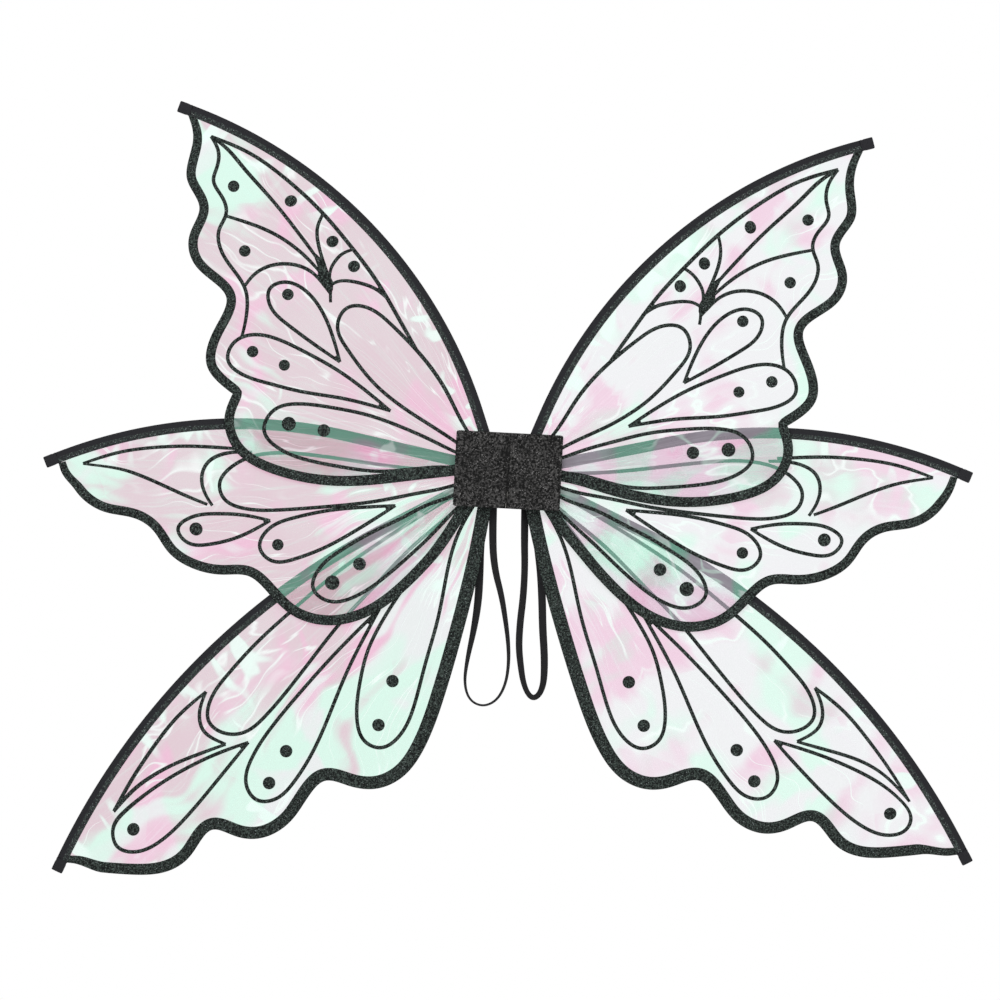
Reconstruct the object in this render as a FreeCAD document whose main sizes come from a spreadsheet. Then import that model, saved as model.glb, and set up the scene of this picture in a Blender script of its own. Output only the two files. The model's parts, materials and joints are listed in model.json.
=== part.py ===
import FreeCAD, Part
import math
import os
from FreeCAD import Placement, Rotation, Vector

# Costume fairy wings: three pairs of film wings on bent wire ribs, fanned from a folding hub.
#
# Frame: X across the shoulders, Z up, Y from the outer, visible side (-Y) to the wearer (+Y).
# The origin is the middle of the hub on the plane of the wearer's back, y = 0.
# Each wing is drawn in a frame of its own: its pivot is the origin, u runs from the pivot to the
# rib's tip and v from the rib towards the scalloped edge.

doc = FreeCAD.newDocument("fairy_wings")

# ---------------------------------------------------------------- driving dimensions (mm, degrees)

DIMENSIONS = [
    ("hub_width", 105, "both halves of the hub, laid open"),
    ("hub_height", 74, "hub, top to bottom"),
    ("hub_corner", 3, "corner radius of the hub plates"),
    ("fold_gap", 0.6, "gap between the two halves at the fold"),
    ("lining_thick", 1.2, "felt lining on the wearer's side"),
    ("board_thick", 1.4, "stiff card board"),
    ("cover_thick", 1.2, "glitter cloth cover on its foam backing"),
    ("layer_gap", 0.6, "free space between two layers of ribs"),
    ("core_width", 4, "core strip beside the fold"),
    ("core_inset", 1, "core strip to fold line"),
    ("core_height", 68, "core strip, top to bottom"),
    ("pivot_offset", 12, "pivot to fold line"),
    ("eye_radius", 3.5, "rib eye, to the middle of the wire"),
    ("wire_dia", 1.8, "spring steel wire"),
    ("wire_play", 0.1, "radial play of the wire in its sleeve"),
    ("sleeve_width", 11, "rib sleeve, seen from the front"),
    ("sleeve_thick", 3, "rib sleeve, front to back"),
    ("sleeve_root", 26, "pivot to the start of the sleeve"),
    ("film_thick", 0.4, "wing film with its print"),
    ("film_root", 24, "pivot to the inner end of the film"),
    ("cap_length", 13, "tip cap, along the rib"),
    ("cap_width", 12.5, "tip cap, across the rib"),
    ("cap_thick", 3.4, "tip cap, front to back"),
    ("wire_end_cover", 3, "cap material beyond the end of the wire"),
    ("rivet_radius", 2.25, "shank of the pivot rivet"),
    ("head_radius", 4.5, "heads of the pivot rivet"),
    ("head_thick", 0.8, "heads of the pivot rivet"),
    ("head_play", 0.2, "radial play round a rivet head"),
    ("washer_radius", 5.2, "nylon washers on the rivet"),
    ("eye_play", 0.2, "play between an eye and the washer beside it"),
    ("anchor_width", 24, "strap anchor tab, across"),
    ("anchor_height", 6, "strap anchor tab, below the hub"),
    ("anchor_depth", 6.4, "strap anchor tab, front to back"),
    ("anchor_offset", 20.5, "middle of a strap anchor to the fold line"),
    ("strap_dia", 8, "elastic strap, taken as a round cord of its width"),
    ("strap_depth", 1.8, "middle of the strap behind the wearer's plane"),
    # each rib: angle of its wing, tilt of its pair, straight root, lean, bend radius, total bend
    ("upper_angle", 46, "upper wings above the horizontal"),
    ("upper_tilt", 0, "upper pair, turned about the hub"),
    ("upper_straight", 60, "upper rib, straight run from the pivot"),
    ("upper_lean", 23.5, "upper rib, lean of the straight run"),
    ("upper_bend", 474, "upper rib, bend radius"),
    ("upper_sweep", 53.6, "upper rib, bend angle"),
    ("middle_angle", 0, "middle wings above the horizontal"),
    ("middle_tilt", 2.1, "middle pair, turned about the hub"),
    ("middle_straight", 152, "middle rib, straight run from the pivot"),
    ("middle_lean", 12, "middle rib, lean of the straight run"),
    ("middle_bend", 494, "middle rib, bend radius"),
    ("middle_sweep", 35.8, "middle rib, bend angle"),
    ("lower_angle", -41.8, "lower wings above the horizontal"),
    ("lower_tilt", 3.6, "lower pair, turned about the hub"),
    ("lower_straight", 133, "lower rib, straight run from the pivot"),
    ("lower_lean", 14.8, "lower rib, lean of the straight run"),
    ("lower_bend", 721, "lower rib, bend radius"),
    ("lower_sweep", 37.9, "lower rib, bend angle"),
]

sheet = doc.addObject("Spreadsheet::Sheet", "Sizes")
for row, (alias, value, meaning) in enumerate(DIMENSIONS, start=1):
    sheet.set(f"A{row}", alias)
    sheet.set(f"B{row}", str(value))
    sheet.setAlias(f"B{row}", alias)
    sheet.set(f"C{row}", meaning)
doc.recompute()

SIDES = {"left": -1, "right": 1}
LAYERS = {"lower": 0, "middle": 1, "upper": 2}  # counted from the wearer's side

# The scalloped edge of each wing as (u, v) points, from the rib's tip round to the hub.
# A smooth curve runs through each list; two lists meet in a sharp notch.
SCALLOPS = {
    "upper": [
        [(443, 13), (419, 40), (390, 49), (376, 74), (348, 90), (304, 88), (289, 116), (266, 147),
         (228, 146)],
        [(228, 146), (216, 167), (188, 181), (140, 167), (84, 120), (45, 66)],
    ],
    "middle": [
        [(432, 14), (418, 37), (393, 52), (362, 57), (345, 67), (330, 87), (301, 104), (272, 108),
         (249, 109), (231, 123), (205, 147), (168, 157), (128, 147), (88, 117), (50, 74)],
    ],
    "lower": [
        [(564, 20), (539, 47), (514, 68), (483, 75), (450, 72), (438, 92), (417, 114), (390, 120),
         (355, 113), (337, 113), (321, 134), (300, 156), (275, 163), (240, 156), (190, 131),
         (125, 91), (60, 47)],
    ],
}
# Where the scalloped edge ends, as the angle at the pivot between u and the film's root.
ROOT_ANGLES = {"upper": 56, "middle": 56, "lower": 40}

# The elastic loops, hung from the hub: (x, z) along each, from the inner end to the outer end.
# Both ends reach a little way into the anchor tab, where the loop is cut off flush.
STRAP_ROUTES = {
    "left": [(-13, -41), (-12, -72), (-8, -100), (0, -125), (5, -148), (9, -170), (11, -192),
             (9, -214), (1, -231), (-13, -238), (-27, -232), (-33, -215), (-31, -191), (-26, -162),
             (-23, -134), (-23, -104), (-24, -73), (-22, -41)],
    "right": [(19, -41), (20, -68), (22, -95), (22, -125), (20, -152), (20, -176), (23, -195),
              (26, -210), (30, -221), (38, -225), (46, -222), (49, -214), (48, -203), (46, -183),
              (43, -156), (41, -127), (38, -98), (33, -70), (28, -41)],
}
BEND_SHARE = 0.45  # share of the shorter run that a bend takes up on each side of its point


def size(alias):
    """A driving dimension, read from the sheet."""
    return float(sheet.get(alias))


def bind(item, **expressions):
    """Bind properties to expressions. Two underscores stand for the dot in a property path."""
    for name, expression in expressions.items():
        item.setExpression(name.replace("__", "."), expression)


def layer_depth(kind):
    """Expression for the y of the middle of a wing's layer."""
    behind = f"(Sizes.layer_gap + Sizes.sleeve_thick) * {LAYERS[kind]} + Sizes.layer_gap"
    return f"-(Sizes.lining_thick + Sizes.board_thick + {behind} + Sizes.sleeve_thick / 2)"


STACK = "(Sizes.layer_gap + Sizes.sleeve_thick) * 3 + Sizes.layer_gap"
BACK_BOARD_FRONT = "-(Sizes.lining_thick + Sizes.board_thick)"
FRONT_BOARD_BACK = f"{BACK_BOARD_FRONT} - ({STACK})"
FRONT_BOARD_FRONT = f"{FRONT_BOARD_BACK} - Sizes.board_thick"


# ---------------------------------------------------------------- wings


def rib_point(kind, along, offset):
    """Local (u, v) of a point of a rib.

    along is the distance from the pivot on the straight run, or ("bend", degrees) on the arc,
    and offset the distance from the wire towards the scalloped edge.
    """
    lean = math.radians(size(f"{kind}_lean"))
    straight = size(f"{kind}_straight")
    if not isinstance(along, tuple):
        u = along * math.cos(lean) + offset * math.sin(lean)
        return u, -along * math.sin(lean) + offset * math.cos(lean)
    heading = math.radians(along[1]) - lean
    radius = size(f"{kind}_bend")
    u = straight * math.cos(lean) + radius * math.sin(lean) + (radius - offset) * math.sin(heading)
    v = -straight * math.sin(lean) + radius * math.cos(lean) - (radius - offset) * math.cos(heading)
    return u, v


def on_plane(side, point):
    """A local (u, v) point on the wing's own XZ plane, mirrored for the left side."""
    return Vector(SIDES[side] * point[0], -point[1], 0)


def sweep_to(kind, distance):
    """Bend angle, in degrees, that is the given distance short of the end of the rib."""
    return size(f"{kind}_sweep") - math.degrees(distance / size(f"{kind}_bend"))


def rib_run(kind, side, start, end_angle, offset):
    """The rib's straight run and its tangent arc as two sketch edges, in order from the pivot."""
    points = [
        rib_point(kind, start, offset),
        rib_point(kind, size(f"{kind}_straight"), offset),
        rib_point(kind, ("bend", end_angle / 2), offset),
        rib_point(kind, ("bend", end_angle), offset),
    ]
    first, corner, middle, last = [on_plane(side, point) for point in points]
    return [Part.LineSegment(first, corner), Part.Arc(corner, middle, last)], first, last


def place_wing(item, kind, side):
    """Hang a local shape on its pivot, in its layer and at its angle."""
    item.Placement = Placement(Vector(), Rotation(Vector(0, -SIDES[side], 0), 1))
    sign = "+" if side == "right" else "-"
    bind(item, Placement__Base__x=f"{SIDES[side]} * Sizes.pivot_offset",
         Placement__Base__y=layer_depth(kind),
         Placement__Rotation__Angle=f"Sizes.{kind}_angle {sign} Sizes.{kind}_tilt")


def plane_of(body, role):
    """One of a PartDesign body's own origin planes."""
    return next(item for item in body.Origin.OriginFeatures if item.Role == role)


def flat_body(name, edges, thickness):
    """A PartDesign body: a closed outline on the XZ plane, padded evenly to both sides."""
    body = doc.addObject("PartDesign::Body", name)
    sketch = body.newObject("Sketcher::SketchObject", f"{name}_outline")
    sketch.AttachmentSupport = (plane_of(body, "XZ_Plane"), [""])
    sketch.MapMode = "FlatFace"
    for edge in edges:
        sketch.addGeometry(edge, False)
    pad = body.newObject("PartDesign::Pad", f"{name}_pad")
    pad.Profile = sketch
    pad.SideType = "Symmetric"
    bind(pad, Length=thickness)
    return body


def wire_path(kind, side):
    """Sketch of the rib wire's line, from the eye to the end inside the tip cap."""
    sketch = doc.addObject("Sketcher::SketchObject", f"{side}_{kind}_wire_path")
    sketch.Placement = Placement(Vector(), Rotation(Vector(1, 0, 0), 90))
    end_angle = sweep_to(kind, size("wire_end_cover"))
    for edge in rib_run(kind, side, size("eye_radius"), end_angle, 0)[0]:
        sketch.addGeometry(edge, False)
    return sketch


def wire_section(kind, side, name, radius):
    """Circle across the wire at the start of its path."""
    lean = size(f"{kind}_lean")
    start = on_plane(side, rib_point(kind, size("eye_radius"), 0))
    circle = doc.addObject("Part::Circle", name)
    heading = Vector(SIDES[side] * math.cos(math.radians(lean)), 0, math.sin(math.radians(lean)))
    circle.Placement = Placement(Vector(start.x, 0, start.y), Rotation(Vector(0, 0, 1), heading))
    bind(circle, Radius=radius)
    return circle


def swept(name, section, path):
    """Solid tube of a section along all the edges of a path."""
    tube = doc.addObject("Part::Sweep", name)
    tube.Sections = [section]
    tube.Spine = (path, [f"Edge{number}" for number in range(1, len(path.Shape.Edges) + 1)])
    tube.Solid = True
    tube.Frenet = False
    return tube


def cut(name, base, tool):
    """What is left of the base outside the tool."""
    result = doc.addObject("Part::Cut", name)
    result.Base = base
    result.Tool = tool
    return result


def make_film(kind, side):
    """Film: rib edge, scalloped edge and a root cut round the pivot."""
    half_sleeve = size("sleeve_width") / 2
    root = size("film_root")
    start = math.sqrt(root**2 - half_sleeve**2)
    tip_angle = sweep_to(kind, size("cap_length"))
    edges, rib_root, tip = rib_run(kind, side, start, tip_angle, half_sleeve)
    root_angle = math.radians(ROOT_ANGLES[kind])
    film_end = on_plane(side, (root * math.cos(root_angle), root * math.sin(root_angle)))
    runs = [[on_plane(side, point) for point in run] for run in SCALLOPS[kind]]
    runs[0].insert(0, tip)
    runs[-1].append(film_end)
    for run in runs:
        curve = Part.BSplineCurve()
        curve.interpolate(run)
        edges.append(curve)
    root_middle = (film_end + rib_root).normalize() * root
    edges.append(Part.Arc(film_end, root_middle, rib_root))
    film = flat_body(f"{side}_{kind}_film", edges, "Sizes.film_thick")
    place_wing(film, kind, side)
    return film


def make_sleeve(kind, side, channel):
    """Sleeve: a flat band round the rib, with a channel for the wire."""
    half = size("sleeve_width") / 2
    end_angle = sweep_to(kind, size("cap_length"))
    start = size("sleeve_root")
    inner, inner_start, inner_end = rib_run(kind, side, start, end_angle, half)
    outer, outer_start, outer_end = rib_run(kind, side, start, end_angle, -half)
    ends = [Part.LineSegment(inner_start, outer_start), Part.LineSegment(inner_end, outer_end)]
    band = flat_body(f"{side}_{kind}_sleeve_band", inner + outer + ends, "Sizes.sleeve_thick")
    sleeve = cut(f"{side}_{kind}_rib_sleeve", band, channel)
    place_wing(sleeve, kind, side)
    return sleeve


def make_wire(kind, side, path):
    """Rib wire: a round eye on the pivot, a straight run and the long bend."""
    name = f"{side}_{kind}_wire"
    run = swept(f"{name}_run", wire_section(kind, side, f"{name}_section", "Sizes.wire_dia / 2"), path)
    eye = doc.addObject("Part::Torus", f"{name}_eye")
    eye.Placement = Placement(Vector(), Rotation(Vector(1, 0, 0), 90))
    bind(eye, Radius1="Sizes.eye_radius", Radius2="Sizes.wire_dia / 2")
    wire = doc.addObject("Part::MultiFuse", f"{side}_{kind}_rib_wire")
    wire.Shapes = [eye, run]
    place_wing(wire, kind, side)
    return wire


def make_tip_cap(kind, side, channel):
    """Tip cap: a square-cut block on the end of the rib, bored for the wire."""
    name = f"{side}_{kind}_tip_cap"
    end_angle = sweep_to(kind, size("cap_length"))
    corner = on_plane(side, rib_point(kind, ("bend", end_angle), 0))
    heading = SIDES[side] * (size(f"{kind}_lean") - end_angle)
    block = doc.addObject("Part::Box", f"{name}_block")
    bind(block, Length="Sizes.cap_length", Width="Sizes.cap_thick", Height="Sizes.cap_width")
    turn = Rotation(Vector(0, -1, 0), heading if side == "right" else 180 + heading)
    middle = Vector(0, -size("cap_thick") / 2, -size("cap_width") / 2)
    block.Placement = Placement(Vector(corner.x, 0, corner.y) + turn.multVec(middle), turn)
    cap = cut(name, block, channel)
    place_wing(cap, kind, side)
    return cap


def make_wing(kind, side):
    """The four pieces of one wing."""
    path = wire_path(kind, side)
    doc.recompute()
    name = f"{side}_{kind}_channel"
    bore = "Sizes.wire_dia / 2 + Sizes.wire_play"
    channel = swept(name, wire_section(kind, side, f"{name}_section", bore), path)
    return [
        make_film(kind, side),
        make_wire(kind, side, path),
        make_sleeve(kind, side, channel),
        make_tip_cap(kind, side, channel),
    ]


# ---------------------------------------------------------------- hub


def block(name, length, depth, height, left_edge, back, bottom):
    """Box with its sizes and its place bound to the sheet; back is its face nearest the wearer."""
    box = doc.addObject("Part::Box", name)
    bind(box, Length=length, Width=depth, Height=height, Placement__Base__x=left_edge,
         Placement__Base__y=f"{back} - ({depth})", Placement__Base__z=bottom)
    return box


def disc(name, side, radius, depth, back):
    """Cylinder on the pivot axis of a side, from back towards the front."""
    cylinder = doc.addObject("Part::Cylinder", name)
    cylinder.Placement = Placement(Vector(), Rotation(Vector(1, 0, 0), 90))
    bind(cylinder, Radius=radius, Height=depth, Placement__Base__y=back,
         Placement__Base__x=f"{SIDES[side]} * Sizes.pivot_offset")
    return cylinder


def hub_plate(name, side, depth, back, hole_radius, hole_depth, hole_back):
    """Half of a hub layer: a plate with two round corners and a hole or recess at the pivot."""
    left_edge = "-Sizes.hub_width / 2" if side == "left" else "Sizes.fold_gap / 2"
    plate = block(f"{name}_blank", "(Sizes.hub_width - Sizes.fold_gap) / 2", depth,
                  "Sizes.hub_height", left_edge, back, "-Sizes.hub_height / 2")
    doc.recompute()
    outer_x = SIDES[side] * size("hub_width") / 2
    corners = []
    for number, edge in enumerate(plate.Shape.Edges, start=1):
        first, last = edge.Vertexes
        outside = math.isclose(first.X, outer_x) and math.isclose(last.X, outer_x)
        if outside and math.isclose(first.Z, last.Z):
            corners.append((number, size("hub_corner"), size("hub_corner")))
    rounded = doc.addObject("Part::Fillet", f"{name}_rounded")
    rounded.Base = plate
    rounded.Edges = corners
    return cut(name, rounded, disc(f"{name}_hole", side, hole_radius, hole_depth, hole_back))


def make_rivet(side):
    """Pivot rivet: a shank between two flat heads."""
    name = f"{side}_pivot_rivet"
    depth = f"{STACK} + 2 * Sizes.board_thick"
    shank = disc(f"{name}_shank", side, "Sizes.rivet_radius", depth, "-Sizes.lining_thick")
    back = disc(f"{name}_back_head", side, "Sizes.head_radius", "Sizes.head_thick",
                "-Sizes.lining_thick + Sizes.head_thick")
    front = disc(f"{name}_front_head", side, "Sizes.head_radius", "Sizes.head_thick",
                 FRONT_BOARD_FRONT)
    rivet = doc.addObject("Part::MultiFuse", name)
    rivet.Shapes = [shank, back, front]
    return rivet


def make_washers(side):
    """Nylon washers: one at each board and one between each two eyes, as a group."""
    name = f"{side}_pivot_washers"
    half_eye = "Sizes.wire_dia / 2 + Sizes.eye_play"
    outer_depth = f"Sizes.layer_gap + Sizes.sleeve_thick / 2 - ({half_eye})"
    inner_depth = f"Sizes.layer_gap + Sizes.sleeve_thick - 2 * ({half_eye})"
    places = [(BACK_BOARD_FRONT, outer_depth)]
    places += [(f"{layer_depth(kind)} - ({half_eye})", inner_depth) for kind in ("lower", "middle")]
    places.append((f"{layer_depth('upper')} - ({half_eye})", outer_depth))
    rings = []
    for number, (back, depth) in enumerate(places, start=1):
        ring = disc(f"{name}_ring{number}", side, "Sizes.washer_radius", depth, back)
        bore = disc(f"{name}_bore{number}", side, "Sizes.rivet_radius", depth, back)
        rings.append(cut(f"{name}_cut{number}", ring, bore))
    group = doc.addObject("Part::Compound", name)
    group.Links = rings
    return group


def make_core(side):
    """Core strip: holds the two boards apart beside the fold."""
    inset = "Sizes.core_inset"
    left_edge = f"-({inset} + Sizes.core_width)" if side == "left" else inset
    return block(f"{side}_core_strip", "Sizes.core_width", STACK, "Sizes.core_height", left_edge,
                 BACK_BOARD_FRONT, "-Sizes.core_height / 2")


def make_anchor(side):
    """Strap anchor: a thick sewn tab under the back board, where both ends of a loop are held."""
    middle = f"{SIDES[side]} * Sizes.anchor_offset"
    return block(f"{side}_strap_anchor", "Sizes.anchor_width", "Sizes.anchor_depth",
                 "Sizes.anchor_height", f"{middle} - Sizes.anchor_width / 2",
                 "Sizes.strap_depth + Sizes.anchor_depth / 2",
                 "-Sizes.hub_height / 2 - Sizes.anchor_height")


def make_hub(side):
    """The pieces of one half of the hub, apart from its strap anchor."""
    rivet_hole = "Sizes.rivet_radius"
    recess = "Sizes.head_radius + Sizes.head_play"
    return [
        hub_plate(f"{side}_back_lining", side, "Sizes.lining_thick", "0", recess,
                  "Sizes.head_thick", "-Sizes.lining_thick + Sizes.head_thick"),
        hub_plate(f"{side}_back_board", side, "Sizes.board_thick", "-Sizes.lining_thick",
                  rivet_hole, "Sizes.board_thick", "-Sizes.lining_thick"),
        hub_plate(f"{side}_front_board", side, "Sizes.board_thick", FRONT_BOARD_BACK,
                  rivet_hole, "Sizes.board_thick", FRONT_BOARD_BACK),
        hub_plate(f"{side}_front_cover", side, "Sizes.cover_thick", FRONT_BOARD_FRONT, recess,
                  "Sizes.head_thick", FRONT_BOARD_FRONT),
        make_core(side),
        make_rivet(side),
        make_washers(side),
    ]


# ---------------------------------------------------------------- elastic straps


def strap_wire(side):
    """Centreline of a loop: straight runs joined by tangent arcs, as large as the runs allow."""
    depth = size("strap_depth")
    points = [Vector(x, depth, z) for x, z in STRAP_ROUTES[side]]
    edges = []
    radii = []
    start = points[0]
    for before, point, after in zip(points, points[1:], points[2:]):
        toward = (before - point).normalize()
        away = (after - point).normalize()
        half_turn = (math.pi - toward.getAngle(away)) / 2
        reach = BEND_SHARE * min((before - point).Length, (after - point).Length)
        radius = reach / math.tan(half_turn)
        entry = point + toward * reach
        leave = point + away * reach
        bisector = (toward + away).normalize()
        crown = point + bisector * (radius / math.cos(half_turn) - radius)
        edges.append(Part.LineSegment(start, entry).toShape())
        edges.append(Part.Arc(entry, crown, leave).toShape())
        radii.append(radius)
        start = leave
    edges.append(Part.LineSegment(start, points[-1]).toShape())
    print(f"{side} strap radii (mm):", " ".join(f"{radius:.0f}" for radius in radii))
    return Part.Wire(edges)


def make_strap(side, anchor):
    """Elastic loop: both ends are cut flush with the strap anchor."""
    path = doc.addObject("Part::Feature", f"{side}_strap_path")
    path.Shape = strap_wire(side)
    name = f"{side}_strap_loop"
    first = path.Shape.Edges[0]
    section = doc.addObject("Part::Circle", f"{name}_section")
    heading = first.tangentAt(first.FirstParameter)
    facing = Rotation(Vector(0, 0, 1), heading)
    section.Placement = Placement(first.valueAt(first.FirstParameter), facing)
    bind(section, Radius="Sizes.strap_dia / 2")
    tube = swept(f"{name}_tube", section, path)
    doc.recompute()
    expected = math.pi * (size("strap_dia") / 2) ** 2 * path.Shape.Length
    print(f"{name}: length {path.Shape.Length:.1f} mm, volume ratio {tube.Shape.Volume / expected:.4f}")
    return cut(name, tube, anchor)


# ---------------------------------------------------------------- build, check and write

sub_parts = []
for side in SIDES:
    for kind in LAYERS:
        sub_parts += make_wing(kind, side)
    anchor = make_anchor(side)
    sub_parts += make_hub(side)
    sub_parts += [anchor, make_strap(side, anchor)]
doc.recompute()

for item in sub_parts:
    item.Label = item.Name

for item in doc.Objects:
    if "Invalid" in item.State or "Error" in item.State:
        raise RuntimeError(f"{item.Name} failed to build: {item.State}")
for item in sub_parts:
    if item.Shape.isNull() or not item.Shape.isValid() or item.Shape.Volume <= 0:
        raise RuntimeError(f"{item.Label} has no valid solid")

os.makedirs("parts", exist_ok=True)
for item in sub_parts:
    item.Shape.exportStep(f"parts/{item.Label}.step")
    print(f"{item.Label}: {len(item.Shape.Solids)} solid(s), {item.Shape.Volume:.0f} mm3")
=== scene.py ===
"""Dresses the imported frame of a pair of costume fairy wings.

Frame: X across the shoulders, Z up, Y towards the wearer, in metres. The origin is the middle of
the hub on the plane of the wearer's back. Each wing is drawn in a frame of its own, in
millimetres: its pivot is the origin, u runs towards the rib's tip and v from the rib towards the
scalloped edge. Every piece is a surface worked out on a grid of two parameters.
"""

import json
import math

import bmesh
import bpy
import numpy as np
from bpy.props import FloatProperty, FloatVectorProperty, PointerProperty
from mathutils import Matrix, Vector


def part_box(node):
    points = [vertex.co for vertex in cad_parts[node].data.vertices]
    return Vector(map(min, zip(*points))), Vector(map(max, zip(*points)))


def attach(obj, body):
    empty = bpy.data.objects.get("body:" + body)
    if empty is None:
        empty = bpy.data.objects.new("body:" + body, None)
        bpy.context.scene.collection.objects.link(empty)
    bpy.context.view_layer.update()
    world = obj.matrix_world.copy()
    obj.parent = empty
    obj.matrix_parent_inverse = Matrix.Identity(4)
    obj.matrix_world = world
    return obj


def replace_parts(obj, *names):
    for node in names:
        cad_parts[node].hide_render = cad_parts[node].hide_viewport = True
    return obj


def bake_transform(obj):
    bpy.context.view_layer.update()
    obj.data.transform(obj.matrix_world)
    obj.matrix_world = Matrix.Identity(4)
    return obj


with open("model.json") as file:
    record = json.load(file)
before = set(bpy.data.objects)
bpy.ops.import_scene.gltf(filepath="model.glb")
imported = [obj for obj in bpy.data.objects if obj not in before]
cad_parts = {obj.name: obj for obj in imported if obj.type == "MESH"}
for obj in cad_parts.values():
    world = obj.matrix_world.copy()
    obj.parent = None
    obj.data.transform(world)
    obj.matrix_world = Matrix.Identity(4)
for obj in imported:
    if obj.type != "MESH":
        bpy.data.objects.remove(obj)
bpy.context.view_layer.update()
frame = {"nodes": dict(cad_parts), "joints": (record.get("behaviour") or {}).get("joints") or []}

bl_info = {
    "name": "Fairy wings",
    "version": (1, 0, 0),
    "blender": (4, 5, 0),
    "location": "3D View > Sidebar > Fairy wings",
    "description": "Film, print, rib sleeves, hub cloth and elastic loops of a pair of wings",
    "category": "Add Mesh",
}

MM = 0.001
SIDES = {"left": -1, "right": 1}
KINDS = ("upper", "middle", "lower")

# Each rib in its wing's own frame: the straight run from the pivot, how far that leans away from
# u, and the radius and the sweep of the bend that follows it.
RIBS = {
    "upper": {"straight": 60, "lean": 23.5, "bend": 474, "sweep": 53.6},
    "middle": {"straight": 152, "lean": 12, "bend": 494, "sweep": 35.8},
    "lower": {"straight": 133, "lean": 14.8, "bend": 721, "sweep": 37.9},
}
# Height of each wing's u above the horizontal, for the left and the right side.
ANGLES = {"upper": (46, 46), "middle": (-2.1, 2.1), "lower": (-45.4, -38.2)}
SLEEVE_HALF = 5.5  # half of a rib sleeve's width
SLEEVE_ROOT = 26  # distance from the pivot to where the sleeve begins
WIRE_SWELL = 2.3  # half width of the swelling over the wire, at 1/e of its height
PUCKER = 8.4  # distance between two puckers of the sleeve
SEAM_OFFSET = 3.9  # how far the sleeve's stitches lie from its middle line
CAP_LENGTH = 13
CAP_HALF = (5.75, 1.68)  # half of a tip cap's width and thickness
CAP_SQUARENESS = 4.5  # power of the superellipse of its section
# How large its section is along it: distance from its inner end and share of its full size.
CAP_SECTIONS = [(0, 0.93), (0.4, 0.98), (1, 1), (2, 0.95), (3, 0.95), (4, 1), (5, 1), (7, 1),
                (9, 1), (11, 1), (11.8, 1), (12.4, 0.985), (12.8, 0.95), (12.97, 0.88), (13, 0.7)]
FILM_GRID = (260, 44)  # points along the film's free edge and from the rib to it
FILM_ROOT = 24  # distance from the pivot to where the film begins
ROOT_ANGLES = {"upper": 56, "middle": 56, "lower": 40}  # of the film's other corner there

# The scalloped edges, from the rib's tip round to the hub. Two lists meet in a sharp notch.
SCALLOPS = {
    "upper": [
        [(443, 13), (419, 40), (390, 49), (376, 74), (348, 90), (304, 88), (289, 116), (266, 147),
         (228, 146)],
        [(228, 146), (216, 167), (188, 181), (140, 167), (84, 120), (45, 66)],
    ],
    "middle": [
        [(432, 14), (418, 37), (393, 52), (362, 57), (345, 67), (330, 87), (301, 104), (272, 108),
         (249, 109), (231, 123), (205, 147), (168, 157), (128, 147), (88, 117), (50, 74)],
    ],
    "lower": [
        [(564, 20), (539, 47), (514, 68), (483, 75), (450, 72), (438, 92), (417, 114), (390, 120),
         (355, 113), (337, 113), (321, 134), (300, 156), (275, 163), (240, 156), (190, 131),
         (125, 91), (60, 47)],
    ],
}
# Width of the printed border at the tip, along the scallops and at the hub.
BORDERS = {"upper": (8.5, 9, 10.5), "middle": (8.5, 9.5, 10.5), "lower": (10, 13, 13)}
BORDER_START = 6.5  # its width where it leaves the rib
BORDER_STATIONS = (0, 0.06, 0.7, 1)  # shares of the edge where the four widths hold
BORDER_OVERHANG = 0.8  # how far it stands past the film's edge

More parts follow.
